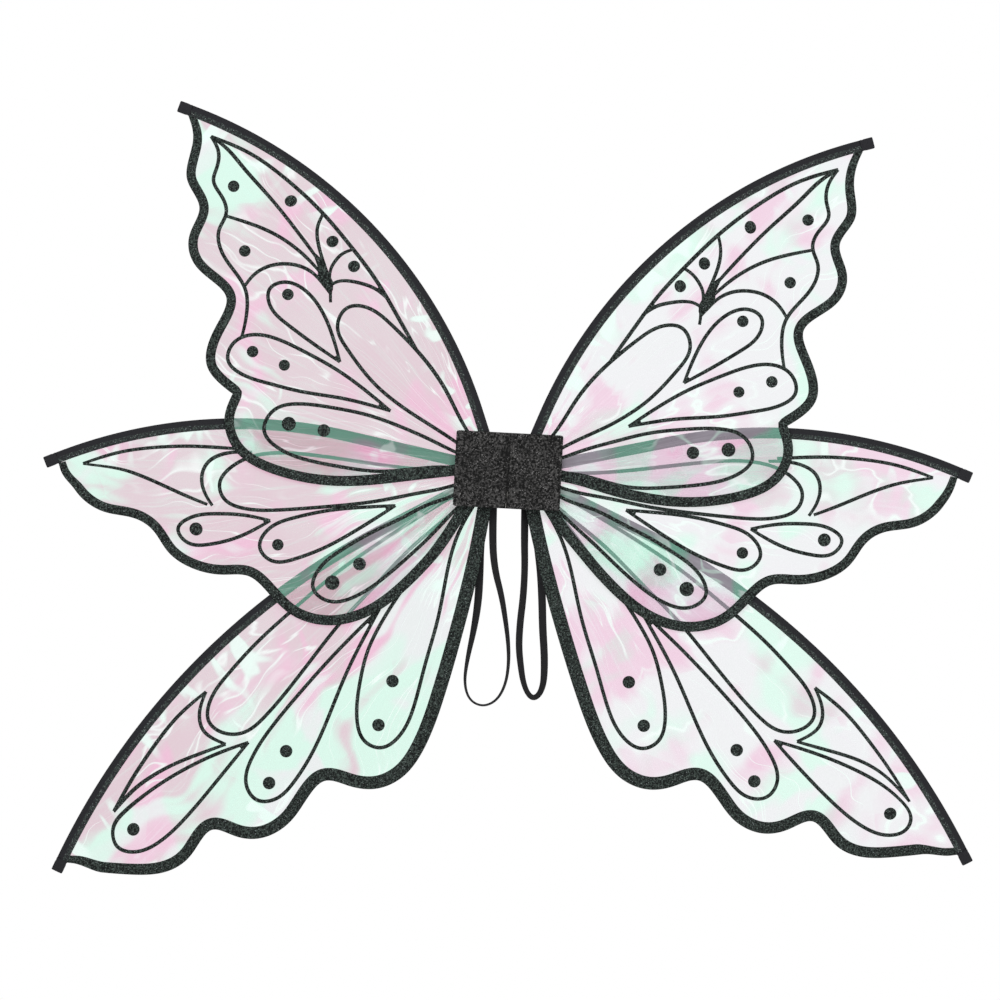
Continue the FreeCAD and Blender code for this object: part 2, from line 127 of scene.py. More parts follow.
# The printed veins: smooth lines through (u, v) points. A line that comes back to its first point
# closes in a sharp end there.
VEINS = {
    "upper": [
        [(48, -4), (93, -15), (140, -20), (178, -18), (207, -10), (218, 4), (211, 23), (187, 31),
         (140, 33), (90, 23), (48, 12)],
        [(140, -20), (180, -28), (220, -35), (263, -38), (310, -38), (360, -32), (400, -22),
         (438, -4)],
        [(268, -5), (290, -7), (320, -9), (353, -10), (393, -9), (420, -8), (438, -4)],
        [(438, -4), (420, 0), (410, 9), (402, 21), (382, 26), (368, 34), (361, 49), (345, 61),
         (320, 65), (298, 69), (281, 82), (269, 97), (265, 103)],
        [(260, 1), (285, 2), (303, 5), (325, 12), (345, 22), (368, 36)],
        [(248, 7), (266, 7), (278, 11), (291, 21), (300, 34), (304, 52), (301, 69)],
        [(246, 1), (244, -6), (238, -14), (228, -22), (215, -29), (197, -32)],
        [(252, -2), (258, -9), (261, -17), (262, -28), (259, -38)],
        [(258, -4), (275, -11), (290, -19), (300, -28), (306, -38)],
        [(233, 13), (238, 9), (243, 4)],
        [(182, 45), (213, 31), (240, 24), (262, 25), (279, 35), (283, 50), (272, 60), (245, 60),
         (213, 53), (182, 45)],
        [(112, 39), (147, 45), (180, 53), (213, 65), (240, 77), (259, 92), (266, 112), (257, 128),
         (235, 126), (213, 113), (187, 95), (153, 67), (112, 39)],
        [(43, 20), (70, 31), (100, 45), (127, 61), (153, 81), (177, 103), (189, 127), (180, 147),
         (155, 147), (127, 132), (100, 111), (73, 86), (37, 38)],
    ],
    "middle": [
        [(45, 27), (70, 36), (96, 49), (126, 64), (156, 82), (178, 101), (184, 121), (170, 133),
         (143, 129), (113, 109), (83, 82), (58, 58), (41, 41)],
        [(103, 37), (133, 39), (170, 43), (205, 51), (230, 63), (238, 81), (226, 94), (203, 92),
         (173, 80), (143, 63), (103, 37)],
        [(228, 54), (254, 49), (282, 48), (308, 53), (320, 65), (312, 77), (290, 79), (260, 71),
         (228, 54)],
        [(46, 17), (83, 25), (123, 33), (170, 39), (216, 43), (255, 42), (275, 32), (279, 17),
         (270, 3), (246, -10), (216, -14), (183, -12), (150, -8), (103, -2), (46, 1)],
        [(246, -14), (262, -14), (278, -11), (292, -2), (297, 11), (294, 27), (286, 40)],
        [(255, -17), (273, -18), (303, -19), (343, -17), (376, -12), (413, 0)],
        [(413, 0), (383, 7), (350, 17), (316, 30), (291, 39)],
    ],
    "lower": [
        [(60, 17), (80, 26), (110, 46), (144, 71), (184, 96), (220, 119), (250, 131), (273, 127),
         (280, 112), (270, 89), (244, 65), (217, 47), (190, 36), (150, 25), (100, 15), (62, 8)],
        [(180, 24), (244, 27), (294, 32), (337, 38), (375, 48), (397, 64), (399, 82), (385, 94),
         (360, 94), (330, 86), (290, 69), (250, 50), (180, 24)],
        [(60, 2), (110, 0), (160, 3), (220, 8), (257, 14), (297, 21), (337, 26), (365, 23),
         (380, 8), (382, -8), (366, -23), (337, -30), (294, -34), (244, -34), (190, -32),
         (140, -26), (80, -16)],
        [(364, -32), (400, -33), (440, -27), (470, -20), (512, -7)],
        [(512, -7), (478, -10), (440, -3), (410, 9), (385, 20)],
        [(364, -32), (384, -20), (392, -5), (390, 8), (385, 20)],
        [(367, 34), (400, 20), (437, 8), (470, 1), (503, -1), (524, 5), (530, 18), (520, 35),
         (497, 44), (460, 45), (420, 41), (367, 34)],
    ],
}
# Solid wedges of the print, as the corner points of their outlines.
WEDGES = {
    "upper": [
        [(239, 9), (241, 3), (246, -2), (256, -5), (268, -9), (279, -8), (277, -4), (267, 0),
         (262, 5), (254, 8)],
        [(196, -31), (214, -35), (213, -29)],
    ],
}
POINT_GAP = 5.5  # how far apart the arms of a sharp end are where its solid print stops
POINT_REACH = 20  # how far along its arms that print may reach
UNDER_HUB = 34  # radius that the veins reach in to
NEAR_HUB = 90  # open ends inside this radius are carried on under the cover
# Sections of the print: of a line as (share of its width, height), and of a dot as (share of its
# radius, height), with heights in lifts of the print and the wearer's side positive.
LINE_SECTION = [(0, 0.5), (0, -0.3), (0.12, -0.85), (0.5, -1), (0.88, -0.85), (1, -0.3), (1, 0.5)]
DOT_SECTION = [(1, 0.5), (1, -0.3), (0.93, -0.85), (0.6, -1.1), (0.25, -1.2)]
# The printed dots: u, v and radius.
DOTS = {
    "upper": [(245, -28, 5.8), (278, -28, 5.8), (336, -23, 5.8), (384, 10, 5.8), (328, 44, 5.8),
              (267, 40, 5.8), (216, 89, 5.6), (247, 104, 5.8), (141, 102, 6.3), (169, 124, 7)],
    "middle": [(138, 96, 6.4), (165, 115, 7.3), (220, 78, 5.8), (302, 64, 6.6)],
    "lower": [(219, 86, 6.3), (259, 109, 6.3), (345, 66, 6.3), (379, 78, 6.3), (507, 17, 6.3)],
}
# How each wing's film hangs away from its pattern, as (u, v): over most of it, and at the tip.
HANG = {
    ("left", "upper"): ((1.7, 1.8), (1.7, 1.8)),
    ("right", "upper"): ((-2.2, 2.1), (-3, 3)),
    ("left", "middle"): ((-3, 0), (-3, -5)),
    ("right", "middle"): ((3.5, 0), (0, -3)),
    ("left", "lower"): ((0, 0), (4.3, 4.2)),
    ("right", "lower"): ((2, 1), (-3.1, -4)),
}

# Where a wing's film turns from pink to mint: u, v, spread and strength, mint above zero.
TINTS = {
    ("left", "upper"): [(230, 50, 400, -1.0), (410, 5, 40, 0.9), (370, 22, 35, 0.7),
                        (190, 135, 45, 0.9), (120, 20, 80, -0.3)],
    ("right", "upper"): [(230, 50, 400, 0.55), (380, 0, 45, -0.5), (290, -5, 40, -0.7),
                         (325, 55, 35, -0.4), (120, 95, 60, -1.2), (90, 0, 50, -0.8)],
    ("left", "middle"): [(230, 50, 400, -1.0), (395, 15, 30, 0.6), (320, 60, 25, 0.8),
                         (285, 0, 25, 0.9), (140, 0, 45, 1.1), (125, 100, 55, 1.3),
                         (80, 62, 40, 1.0)],
    ("right", "middle"): [(230, 50, 400, 0.05), (110, 60, 70, 0.6), (210, 100, 50, 0.6),
                          (340, -10, 60, -0.6), (200, 10, 50, -0.3), (300, 70, 40, 0.3)],
    ("left", "lower"): [(230, 105, 110, 0.9), (350, 80, 60, 0.8), (250, -20, 100, -1.2),
                        (440, 0, 70, -0.9), (520, 20, 40, -0.5), (170, 50, 50, 0.8)],
    ("right", "lower"): [(300, 50, 400, 0.4), (200, 60, 60, -0.8), (150, 20, 60, -0.5),
                         (375, 70, 30, -0.9), (290, -10, 40, -0.3), (480, 40, 60, 0.4)],
}

# The elastic loops: (x, z) of the route's points, from the inner end to the outer end.
STRAP_ROUTES = {
    "left": [(-13, -36), (-12, -72), (-8, -100), (0, -125), (5, -148), (9, -170), (11, -192),
             (9, -214), (1, -231), (-13, -238), (-27, -232), (-33, -215), (-31, -191), (-26, -162),
             (-23, -134), (-23, -104), (-24, -73), (-22, -36)],
    "right": [(19, -36), (20, -68), (22, -95), (22, -125), (20, -152), (20, -176), (23, -195),
              (26, -210), (31, -222), (37, -227), (43, -223), (46.5, -213), (47, -200), (46, -181),
              (43, -156), (41, -127), (38, -98), (33, -70), (28, -36)],
}
STRAP_DEPTH = 1.8  # towards the wearer, in millimetres as the routes are
STRAP_RINGS = 240  # sections along a loop
# Length of each loop from end to end, and how far its band is turned on edge along it: pairs of
# share of the length and degrees.
STRAPS = {
    "left": (0.415, [(0, 10), (0.15, 35), (0.3, 60), (0.4, 72), (0.58, 76), (0.68, 50), (0.8, 8),
                     (1, 0)]),
    "right": (0.380, [(0, 15), (0.15, 35), (0.3, 30), (0.42, 40), (0.5, 62), (0.57, 30), (0.75, 15),
                      (1, 10)]),
}


# ---- settings


def size_setting(name, description, millimetres):
    """A length in the panel."""
    return FloatProperty(name=name, description=description, default=millimetres * MM,
                         unit="LENGTH")


def colour_setting(name, description, colour):
    """A colour in the panel."""
    return FloatVectorProperty(name=name, description=description, default=colour,
                               subtype="COLOR")


class FilmSettings(bpy.types.PropertyGroup):
    """The wing film."""

    ripple: size_setting("Ripple", "Height of the film's ripples", 0.9)
    pink: colour_setting("Pink tint", "Light that passes a pink patch", (0.90, 0.49, 0.655))
    mint: colour_setting("Mint tint", "Light that passes a mint patch", (0.86, 0.94, 0.89))
    sheen: colour_setting("Sheen", "Light thrown back by the film", (0.40, 0.92, 0.70))


class PrintSettings(bpy.types.PropertyGroup):
    """The glitter print on the film."""

    vein_width: size_setting("Vein width", "Width of a printed vein", 3.7)
    lift: size_setting("Print lift", "How far the print stands on the film", 0.3)
    flake: size_setting("Flake size", "Size of a glitter flake", 0.8)
    ink: colour_setting("Ink", "Black of the print between its flakes", (0.004, 0.005, 0.005))
    mottling: colour_setting("Mottling", "Grey of the dull flakes", (0.055, 0.074, 0.065))


class SleeveSettings(bpy.types.PropertyGroup):
    """The rib sleeves and their tip caps."""

    rise: size_setting("Rise", "Half of a sleeve's thickness over its wire", 1.45)
    stitch: size_setting("Stitch pitch", "Distance between two stitches", 4.2)
    cloth: colour_setting("Cloth", "Colour of the black binding", (0.012, 0.012, 0.014))


class HubSettings(bpy.types.PropertyGroup):
    """The glitter cover and the felt on the back."""

    turn_in: size_setting("Turn-in", "Thickness of the cloth round the boards", 0.8)
    crown: size_setting("Crown", "How far the cover swells between its edges", 0.7)
    crease: size_setting("Crease", "Depth of the fold line in the cover", 1.3)
    felt: colour_setting("Felt", "Colour of the felt lining", (0.018, 0.018, 0.02))


class StrapSettings(bpy.types.PropertyGroup):
    """The elastic loops."""

    width: size_setting("Width", "Width of the elastic band", 8)
    thickness: size_setting("Thickness", "Thickness of the elastic band", 1.2)
    elastic: colour_setting("Elastic", "Colour of the elastic", (0.01, 0.01, 0.011))


SETTINGS = {
    "wing_film": FilmSettings,
    "wing_print": PrintSettings,
    "wing_sleeve": SleeveSettings,
    "wing_hub": HubSettings,
    "wing_strap": StrapSettings,
}


def settings(name):
    """One of the groups of settings, from the scene."""
    return getattr(bpy.context.scene, name)


# ---- meshes


def add_mesh(name, verts, faces, attributes=None, closed=True):
    """A mesh object from arrays. verts is n x 3 in metres and faces a list of index rows.

    attributes holds one value, or one vector of three, for each vertex. Doubles are merged, and a
    closed shell's faces are turned outwards.
    """
    mesh = bpy.data.meshes.new(name)
    mesh.from_pydata(verts.tolist(), [], [face.tolist() for face in faces])
    for key, values in (attributes or {}).items():
        kind = "FLOAT" if values.ndim == 1 else "FLOAT_VECTOR"
        field = "value" if values.ndim == 1 else "vector"
        mesh.attributes.new(key, kind, "POINT").data.foreach_set(field, values.astype("f").ravel())
    work = bmesh.new()
    work.from_mesh(mesh)
    bmesh.ops.remove_doubles(work, verts=work.verts, dist=1e-6)
    if closed:
        bmesh.ops.recalc_face_normals(work, faces=work.faces)
    work.to_mesh(mesh)
    work.free()
    mesh.polygons.foreach_set("use_smooth", np.ones(len(mesh.polygons), bool))
    piece = bpy.data.objects.new(name, mesh)
    bpy.context.scene.collection.objects.link(piece)
    return piece


def grid_faces(rows, columns, wrap=False):
    """Quads of a grid of rows x columns vertices, whose last column may join its first."""
    row, column = np.meshgrid(np.arange(rows - 1), np.arange(columns - (not wrap)), indexing="ij")
    nearer = row * columns + column
    beside = row * columns + (column + 1) % columns
    corners = [nearer, beside, beside + columns, nearer + columns]
    return np.stack(corners, -1).reshape(-1, 4)


def tube_faces(rows, columns):
    """Faces of a closed tube of rows rings: its wall and a flat end on each end ring."""
    ring = np.arange(columns)
    return [*grid_faces(rows, columns, wrap=True), ring[::-1], ring + (rows - 1) * columns]


def finish_piece(piece, material, body):
    """Material and the body that the piece rides on."""
    piece.data.materials.append(material)
    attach(piece, body)
    return piece


def smooth_line(points, step):
    """Points about step apart on the natural cubic spline through the given ones.

    The spline's parameter is the distance along the chords, and its second derivatives solve the
    usual three-term equations with zero curvature at both ends.
    """
    points = np.array(points, float)
    knots = distance_along(points)
    chords = np.linalg.norm(np.diff(points, axis=0), axis=1)
    count = len(points)
    system = np.eye(count)
    right = np.zeros_like(points)
    inner = np.arange(1, count - 1)
    system[inner, inner - 1] = chords[:-1]
    system[inner, inner] = 2 * (chords[:-1] + chords[1:])
    system[inner, inner + 1] = chords[1:]
    slopes = np.diff(points, axis=0) / chords[:, None]
    right[1:-1] = 6 * np.diff(slopes, axis=0)
    second = np.linalg.solve(system, right)
    at = np.linspace(0, knots[-1], max(4, int(knots[-1] / step)))
    span = np.clip(np.searchsorted(knots, at, side="right") - 1, 0, count - 2)
    width = chords[span][:, None]
    before = (at - knots[span])[:, None]
    after = width - before
    bow = ((after**3 - width**2 * after) * second[span]
           + (before**3 - width**2 * before) * second[span + 1])
    return (after * points[span] + before * points[span + 1]) / width + bow / (6 * width)


def distance_along(line):
    """Distance of each point of a line from its first one."""
    return np.concatenate([[0], np.cumsum(np.linalg.norm(np.diff(line, axis=0), axis=1))])


def resample(line, at):
    """Points of a line at the given distances along it."""
    along = distance_along(line)
    return np.stack([np.interp(at, along, line[:, axis]) for axis in range(line.shape[1])], -1)


def unit(vectors):
    """Vectors turned into unit vectors."""
    return vectors / np.linalg.norm(vectors, axis=-1)[..., None]


def spread(*parts):
    """Vectors whose parts are arrays that broadcast to one shape."""
    return np.stack(np.broadcast_arrays(*parts), -1)


def rounded_ring(count, exponent, half_width, half_height):
    """Superellipse: cosine and sine of the turn, each raised to the exponent with its sign kept."""
    turn = np.linspace(0, 2 * math.pi, count, endpoint=False)
    wave = np.stack([np.cos(turn), np.sin(turn)], -1)
    return np.sign(wave) * np.abs(wave) ** exponent * np.array([half_width, half_height])


def across(line):
    """Unit vectors to the left of a flat line, evened out over a few millimetres at its kinks."""
    tangent = unit(np.gradient(line, axis=0))
    kernel = np.array([1, 2, 3, 2, 1]) / 9
    padded = np.pad(tangent, ((2, 2), (0, 0)), mode="edge")
    even = unit(spread(*(np.convolve(padded[:, axis], kernel, "valid") for axis in (0, 1))))
    return np.stack([-even[:, 1], even[:, 0]], -1)


def ease(value, low, high):
    """Smooth step from 0 at low to 1 at high."""
    share = np.clip((value - low) / (high - low), 0, 1)
    return share * share * (3 - 2 * share)


# ---- the wings' own frames


def rib_length(kind):
    """Length of a rib from its pivot to its tip."""
    rib = RIBS[kind]
    return rib["straight"] + rib["bend"] * math.radians(rib["sweep"])


def rib_line(kind, distance, offset):
    """(u, v) at a distance along a rib and an offset towards the scalloped edge, as arrays.

    A straight line that leans by the rib's lean, then an arc that is tangent to it.
    """
    straight, bend = RIBS[kind]["straight"], RIBS[kind]["bend"]
    lean = math.radians(RIBS[kind]["lean"])
    heading = np.maximum(distance - straight, 0) / bend - lean
    run = np.minimum(distance, straight)
    u = run * math.cos(lean) + bend * math.sin(lean) + (bend - offset) * np.sin(heading)
    v = -run * math.sin(lean) + bend * math.cos(lean) - (bend - offset) * np.cos(heading)
    return spread(u, v)


def pivot_of(kind, side):
    """Where a wing turns, from its joint."""
    found = next(j for j in frame["joints"] if j["name"] == f"{side}_{kind}_fan")
    return found["pos_m"]


def from_rib(kind, flat):
    """Distance of (u, v) points from the arc of a rib, positive towards the scalloped edge."""
    rib = RIBS[kind]
    lean = math.radians(rib["lean"])
    centre_u = rib["straight"] * math.cos(lean) + rib["bend"] * math.sin(lean)
    centre_v = rib["bend"] * math.cos(lean) - rib["straight"] * math.sin(lean)
    return rib["bend"] - np.hypot(flat[..., 0] - centre_u, flat[..., 1] - centre_v)


def hung(kind, side, flat):
    """A pattern's (u, v) points, moved to where the film hangs.

    The film stays where it is at the rib and at the hub, and its shift eases in away from them.
    """
    near, tip = np.array(HANG[side, kind], float)
    share = ease(flat[..., :1] / rib_length(kind), 0.6, 0.9)
    loose = ease(from_rib(kind, flat), 11, 40) * ease(np.hypot(flat[..., 0], flat[..., 1]), 50, 110)
    return flat + (near * (1 - share) + tip * share) * loose[..., None]


def place(kind, side, flat, depth):
    """World points of a wing's (u, v) points, depth in millimetres towards the wearer.

    The film's hang is added, and the wing's frame is turned by its angle about the pivot and
    mirrored for the left side.
    """
    angle = math.radians(ANGLES[kind][SIDES[side] > 0])
    flat = hung(kind, side, flat)
    u, v = flat[..., 0], flat[..., 1]
    x, y, z = pivot_of(kind, side)
    out = SIDES[side] * (u * math.cos(angle) + v * math.sin(angle))
    up = u * math.sin(angle) - v * math.cos(angle)
    return spread(x + out * MM, y + depth * MM, z + up * MM).reshape(-1, 3)


def ripple(kind, side, flat):
    """Depth of the rippled film in millimetres at (u, v) points.

    Three sines of the angle round the pivot, which bend slowly with the radius. They fade out
    towards the rib and towards the hub.
    """
    u, v = flat[..., 0], flat[..., 1]
    radius = np.hypot(u, v)
    turn = np.arctan2(v, u)
    phase = 1.7 * SIDES[side] + 2.3 * KINDS.index(kind)
    waves = (0.5 * np.sin(11 * turn + phase + radius / 90)
             + 0.32 * np.sin(27 * turn - 2 * phase - radius / 60)
             + 0.18 * np.sin(53 * turn + 3 * phase + radius / 45))
    height = settings("wing_film").ripple / MM
    return height * waves * ease(from_rib(kind, flat), 4, 30) * ease(radius, 45, 130)


def scalloped_edge(kind, step=1.5):
    """The film's free edge, from the rib's tip to the hub."""
    root = math.radians(ROOT_ANGLES[kind])
    tip = rib_line(kind, rib_length(kind) - CAP_LENGTH, SLEEVE_HALF)
    runs = [list(run) for run in SCALLOPS[kind]]
    runs[0].insert(0, tuple(tip))
    runs[-1].append((FILM_ROOT * math.cos(root), FILM_ROOT * math.sin(root)))
    return np.concatenate([smooth_line(run, step) for run in runs])


# ---- film


def make_film(kind, side, material):
    """Film: straight lines from the rib to the scalloped edge, bent by the ripples.

    P(s, t) runs from the rib's edge at t = 0 to the scalloped edge at t = 1. Along the rib, s
    follows the nearest rib point of the scalloped edge. Gives the film, its flat size and area.
    """
    rows, columns = FILM_GRID
    edge = scalloped_edge(kind)
    edge = resample(edge, np.linspace(0, distance_along(edge)[-1], rows))
    tip = rib_length(kind) - CAP_LENGTH
    stations = np.linspace(FILM_ROOT, tip, 900)
    rib = rib_line(kind, stations, SLEEVE_HALF)
    nearest = np.linalg.norm(edge[:, None] - rib[None], axis=2).argmin(1)
    nearest = np.minimum.accumulate(stations[nearest])
    along = 0.7 * nearest + 0.3 * np.linspace(tip, FILM_ROOT, rows)
    along = np.convolve(np.pad(along, 6, mode="edge"), np.ones(13) / 13, "valid")
    along[0], along[-1] = tip, FILM_ROOT
    hidden = SLEEVE_HALF - 2 * ease(tip - along, 2, 20)
    inner = rib_line(kind, along, hidden)
    share = np.linspace(0, 1, columns)[None, :, None]
    flat = inner[:, None] * (1 - share) + edge[:, None] * share
    verts = place(kind, side, flat, ripple(kind, side, flat))
    faces = grid_faces(rows, columns)
    if side == "right":
        faces = faces[:, ::-1]
    u, v = flat[..., 0], flat[..., 1]
    tint = sum(strength * np.exp(-((u - x) ** 2 + (v - y) ** 2) / spread**2)
               for x, y, spread, strength in TINTS[side, kind])
    flow = spread(np.hypot(u, v) * MM, np.arctan2(v, u), float(SIDES[side]))
    # How near the rib each point lies, which tells the film's painted highlight strokes where to
    # fall.
    beside_rib = np.exp(-np.maximum(from_rib(kind, flat), 0) / 22)
    film = add_mesh(f"{side}_{kind}_film_sheet", verts, faces, closed=False,
                    attributes={"tint": tint.ravel(), "flow": flow.reshape(-1, 3),
                                "beside_rib": beside_rib.ravel()})
    finish_piece(film, material, f"{side}_{kind}_wing")
    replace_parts(film, f"{side}_{kind}_film")
    outline = np.concatenate([inner, edge[::-1]]) * MM
    following = np.roll(outline, -1, axis=0)
    area = abs(np.sum(outline[:, 0] * following[:, 1] - outline[:, 1] * following[:, 0])) / 2
    long, broad = np.ptp(outline, axis=0)
    return film, (float(broad), float(long)), float(area)


# ---- print


class Builder:
    """Gathers the shells of one piece: their vertices, faces and flow attribute."""

    def __init__(self):
        self.verts, self.faces, self.flow = [], [], []
        self.count = 0

    def add(self, verts, faces, flow=None):
        verts = verts.reshape(-1, 3)
        self.verts.append(verts)
        self.faces += [face + self.count for face in faces]
        self.flow.append(np.zeros_like(verts) if flow is None else flow.reshape(-1, 3))
        self.count += len(verts)

    def finish(self, name, material, body, slot):
        """The finished piece, riding on its body."""
        piece = add_mesh(name, np.concatenate(self.verts), self.faces,
                         attributes={"flow": np.concatenate(self.flow)})
        return finish_piece(piece, material, body)


class WingBuilder(Builder):
    """Shells of one wing, from (u, v) points and depths in millimetres."""

    def __init__(self, kind, side):
        super().__init__()
        self.kind, self.side = kind, side

    def tube(self, flat, depth, flow=None):
        """Closed tube through a grid of rings."""
        self.add(place(self.kind, self.side, flat, depth), tube_faces(*flat.shape[:2]), flow)

    def printed(self, flat, height, flow=None):
        """Closed tube that follows the rippled film, its heights as shares of the print's lift."""
        lift = settings("wing_print").lift / MM
        self.tube(flat, ripple(self.kind, self.side, flat) + height * lift, flow)

    def ribbon(self, line, near, far):
        """Raised line of print: a low rounded profile carried along a flat line.

        near and far are the offsets of its two sides from the line, as numbers or arrays.
        """
        section = np.array(LINE_SECTION)
        near = np.broadcast_to(near, len(line))[:, None]
        far = np.broadcast_to(far, len(line))[:, None]
        offset = near + (far - near) * section[None, :, 0]
        flat = line[:, None] + across(line)[:, None] * offset[..., None]
        self.printed(flat, section[None, :, 1],
                     spread(distance_along(line)[:, None] * MM, offset * MM, 0))

    def disc(self, u, v, radius):
        """Dot: rings that shrink from a circle to a crowned middle, closed at the back."""
        section = np.array(DOT_SECTION)
        circle = rounded_ring(28, 1, radius, radius)
        self.printed(np.array([u, v]) + section[:, None, None, 0] * circle, section[:, None, 1])

    def wedge(self, corners):
        """Solid wedge of print: a flat plate with the given corners."""
        self.printed(np.array([corners, corners], float), np.array([[0.5], [-0.95]]))

    def fill_point(self, line):
        """Solid print in the sharp end of a closed vein, between the two arms that leave it."""
        shares = np.linspace(0, POINT_REACH, 5)
        gap = np.linalg.norm(resample(line, shares) - resample(line[::-1], shares), axis=1)
        wanted = np.interp(POINT_GAP, gap, shares) if gap[-1] > POINT_GAP else POINT_REACH
        steps = np.linspace(0, min(wanted, distance_along(line)[-1] / 4), 4)
        self.wedge(np.concatenate([resample(line, steps), resample(line[::-1], steps)[:0:-1]]))

    def finish(self, name, material, slot):
        """The finished piece, on the body of its wing."""
        wing = f"{self.side}_{self.kind}"
        return super().finish(f"{wing}_{name}", material, f"{wing}_wing", slot)


def make_print(kind, side, material):
    """Border, veins, wedges and dots of one wing."""
    wing = WingBuilder(kind, side)
    edge = scalloped_edge(kind)
    keep = np.concatenate([[True], np.linalg.norm(np.diff(edge, axis=0), axis=1) > 1e-3])
    edge = edge[keep]
    along = distance_along(edge) / distance_along(edge)[-1]
    width = np.interp(along, BORDER_STATIONS, [BORDER_START, *BORDERS[kind]])
    wing.ribbon(edge, -BORDER_OVERHANG, width)
    half = settings("wing_print").vein_width / MM / 2
    for points in VEINS[kind]:
        line = smooth_line(under_hub(points), 2.2)
        to_end = np.minimum(distance_along(line), distance_along(line)[::-1])
        swell = half * (0.85 + 0.15 * ease(to_end, 0, 30))
        wing.ribbon(line, -swell, swell)
        if points[0] == points[-1]:
            wing.fill_point(line)
    for corners in WEDGES.get(kind, ()):
        wing.wedge(corners)
    for dot in DOTS[kind]:
        wing.disc(*dot)
    return wing.finish("print", material, "black_glitter")


def under_hub(points):
    """A vein's points, with each open end that stops near the hub carried on under its cover."""
    carried = list(points)
    if points[0] != points[-1]:
        for at, end in ((0, points[0]), (len(points) + 1, points[-1])):
            radius = math.hypot(*end)
            if radius < NEAR_HUB:
                carried.insert(at, tuple(part * UNDER_HUB / radius for part in end))
    return carried


# ---- ribs


def sleeve_profile():
    """(offset, depth) of a sleeve's section: a soft swelling over the wire, flat at both edges."""
    share = np.linspace(-1, 1, 15)
    offset = SLEEVE_HALF * share
    rise = settings("wing_sleeve").rise / MM
    half = 0.42 * rise + 0.58 * rise * np.exp(-((offset / WIRE_SWELL) ** 2))
    half = half * np.sqrt(1 - 0.93 * share**10)
    return np.concatenate([np.stack([offset, -half], -1), np.stack([offset, half], -1)[::-1]])


def make_sleeve(kind, side, material):
    """Rib sleeve: its section carried along the rib, puckered a little by its stitches."""
    profile = sleeve_profile()
    end = rib_length(kind) - CAP_LENGTH + 1
    stations = np.linspace(SLEEVE_ROOT, end, int((end - SLEEVE_ROOT) / 3))[:, None]
    offset = profile[None, :, 0]
    depth = profile[None, :, 1] * (1 + 0.05 * np.sin(stations * 2 * math.pi / PUCKER))
    wing = WingBuilder(kind, side)
    wing.tube(rib_line(kind, stations, offset), depth,
              spread(stations * MM, offset * MM, np.sign(depth)))
    piece = wing.finish("sleeve_cloth", material, "black_sleeve")
    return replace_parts(piece, f"{side}_{kind}_rib_sleeve")


def stitch_row(builder, centres, headings, length, radius):
    """Stitches at world points, each along its heading and lying in the XZ plane.

    A stitch is a spindle of four rings of six, closed at both ends.
    """
    turn = np.linspace(0, 2 * math.pi, 6, endpoint=False)
    rings = np.array([(-0.5, 0.35), (-0.3, 1), (0.3, 1), (0.5, 0.35)])
    shell = spread(rings[:, :1] * length, rings[:, 1:] * radius * np.cos(turn),
                   rings[:, 1:] * radius * np.sin(turn)).reshape(-1, 3)
    beside = spread(-headings[:, 2], 0, headings[:, 0])
    front = np.array([0, 1.0, 0])
    verts = (centres[:, None] + shell[None, :, :1] * headings[:, None]
             + shell[None, :, 1:2] * front + shell[None, :, 2:] * beside[:, None])
    for stitch in verts:
        builder.add(stitch, tube_faces(4, 6))


def make_stitching(kind, side, material):
    """A row of stitches on each face of a sleeve, along its inner edge."""
    pitch = settings("wing_sleeve").stitch / MM
    stations = np.arange(SLEEVE_ROOT + 12, rib_length(kind) - CAP_LENGTH - 3, pitch)
    front = sleeve_profile()[:15]
    depth = abs(np.interp(SEAM_OFFSET, front[:, 0], front[:, 1])) + 0.02
    wing = WingBuilder(kind, side)
    for face in (-1, 1):
        centres, ahead = (place(kind, side, rib_line(kind, at, SEAM_OFFSET), face * depth)
                          for at in (stations, stations + 1))
        stitch_row(wing, centres, unit(ahead - centres), 0.72 * pitch * MM, 0.28 * MM)
    return wing.finish("sleeve_stitching", material, "black_sleeve")


def make_cap(kind, side, material):
    """Tip cap: a flattened tube with a square-cut, rounded end over the end of the rib.

    A superellipse section is carried straight on from the end of the bend. It tightens a little
    where the cloth is bound and closes over a small radius at its far end.
    """
    stations, scale = np.array(CAP_SECTIONS).T[..., None]
    ring = rounded_ring(40, 2 / CAP_SQUARENESS, *CAP_HALF)
    width, depth = np.moveaxis(scale[..., None] * ring, -1, 0)
    rib, bound = RIBS[kind], rib_length(kind) - CAP_LENGTH
    turn = math.radians(rib["lean"]) - (bound - rib["straight"]) / rib["bend"]
    ahead = np.array([math.cos(turn), -math.sin(turn)])
    beside = np.array([math.sin(turn), math.cos(turn)])
    flat = rib_line(kind, bound, 0) + stations[..., None] * ahead + width[..., None] * beside
    wing = WingBuilder(kind, side)
    wing.tube(flat, depth, spread(stations * MM, width * MM, np.sign(depth)))
    piece = wing.finish("cap_cloth", material, "black_cap")
    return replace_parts(piece, f"{side}_{kind}_tip_cap")


# ---- hub


TURNED = np.array([0.4, 0.8, 1.2, 1.6, 2.0, 2.4])  # steps of a leaf's grid past its edges
TURN_END = 1.2  # where along those steps the turn over an edge is complete
RIVET_OUT = 12  # distance of each rivet from the fold
RIB_RAISE = {"upper": 0.5, "middle": 0.18, "lower": 0.12}  # how far each rib raises the cover
LEAF_ROWS = 81  # rows of a leaf's grid between its lower and its upper edge
TAB_FRONT, TAB_BACK = 0.02, 3.6  # depths of a sewn tab's two faces
TAB_SHORTER, TAB_HIGHER = 5.6, 12  # how far its ends lie above those of the CAD's anchor
TAB_MARGINS = (2.2, 2.4)  # from its edges to its box of stitches, sideways and upwards
TAB_PITCH = 2.3  # distance between two of those stitches


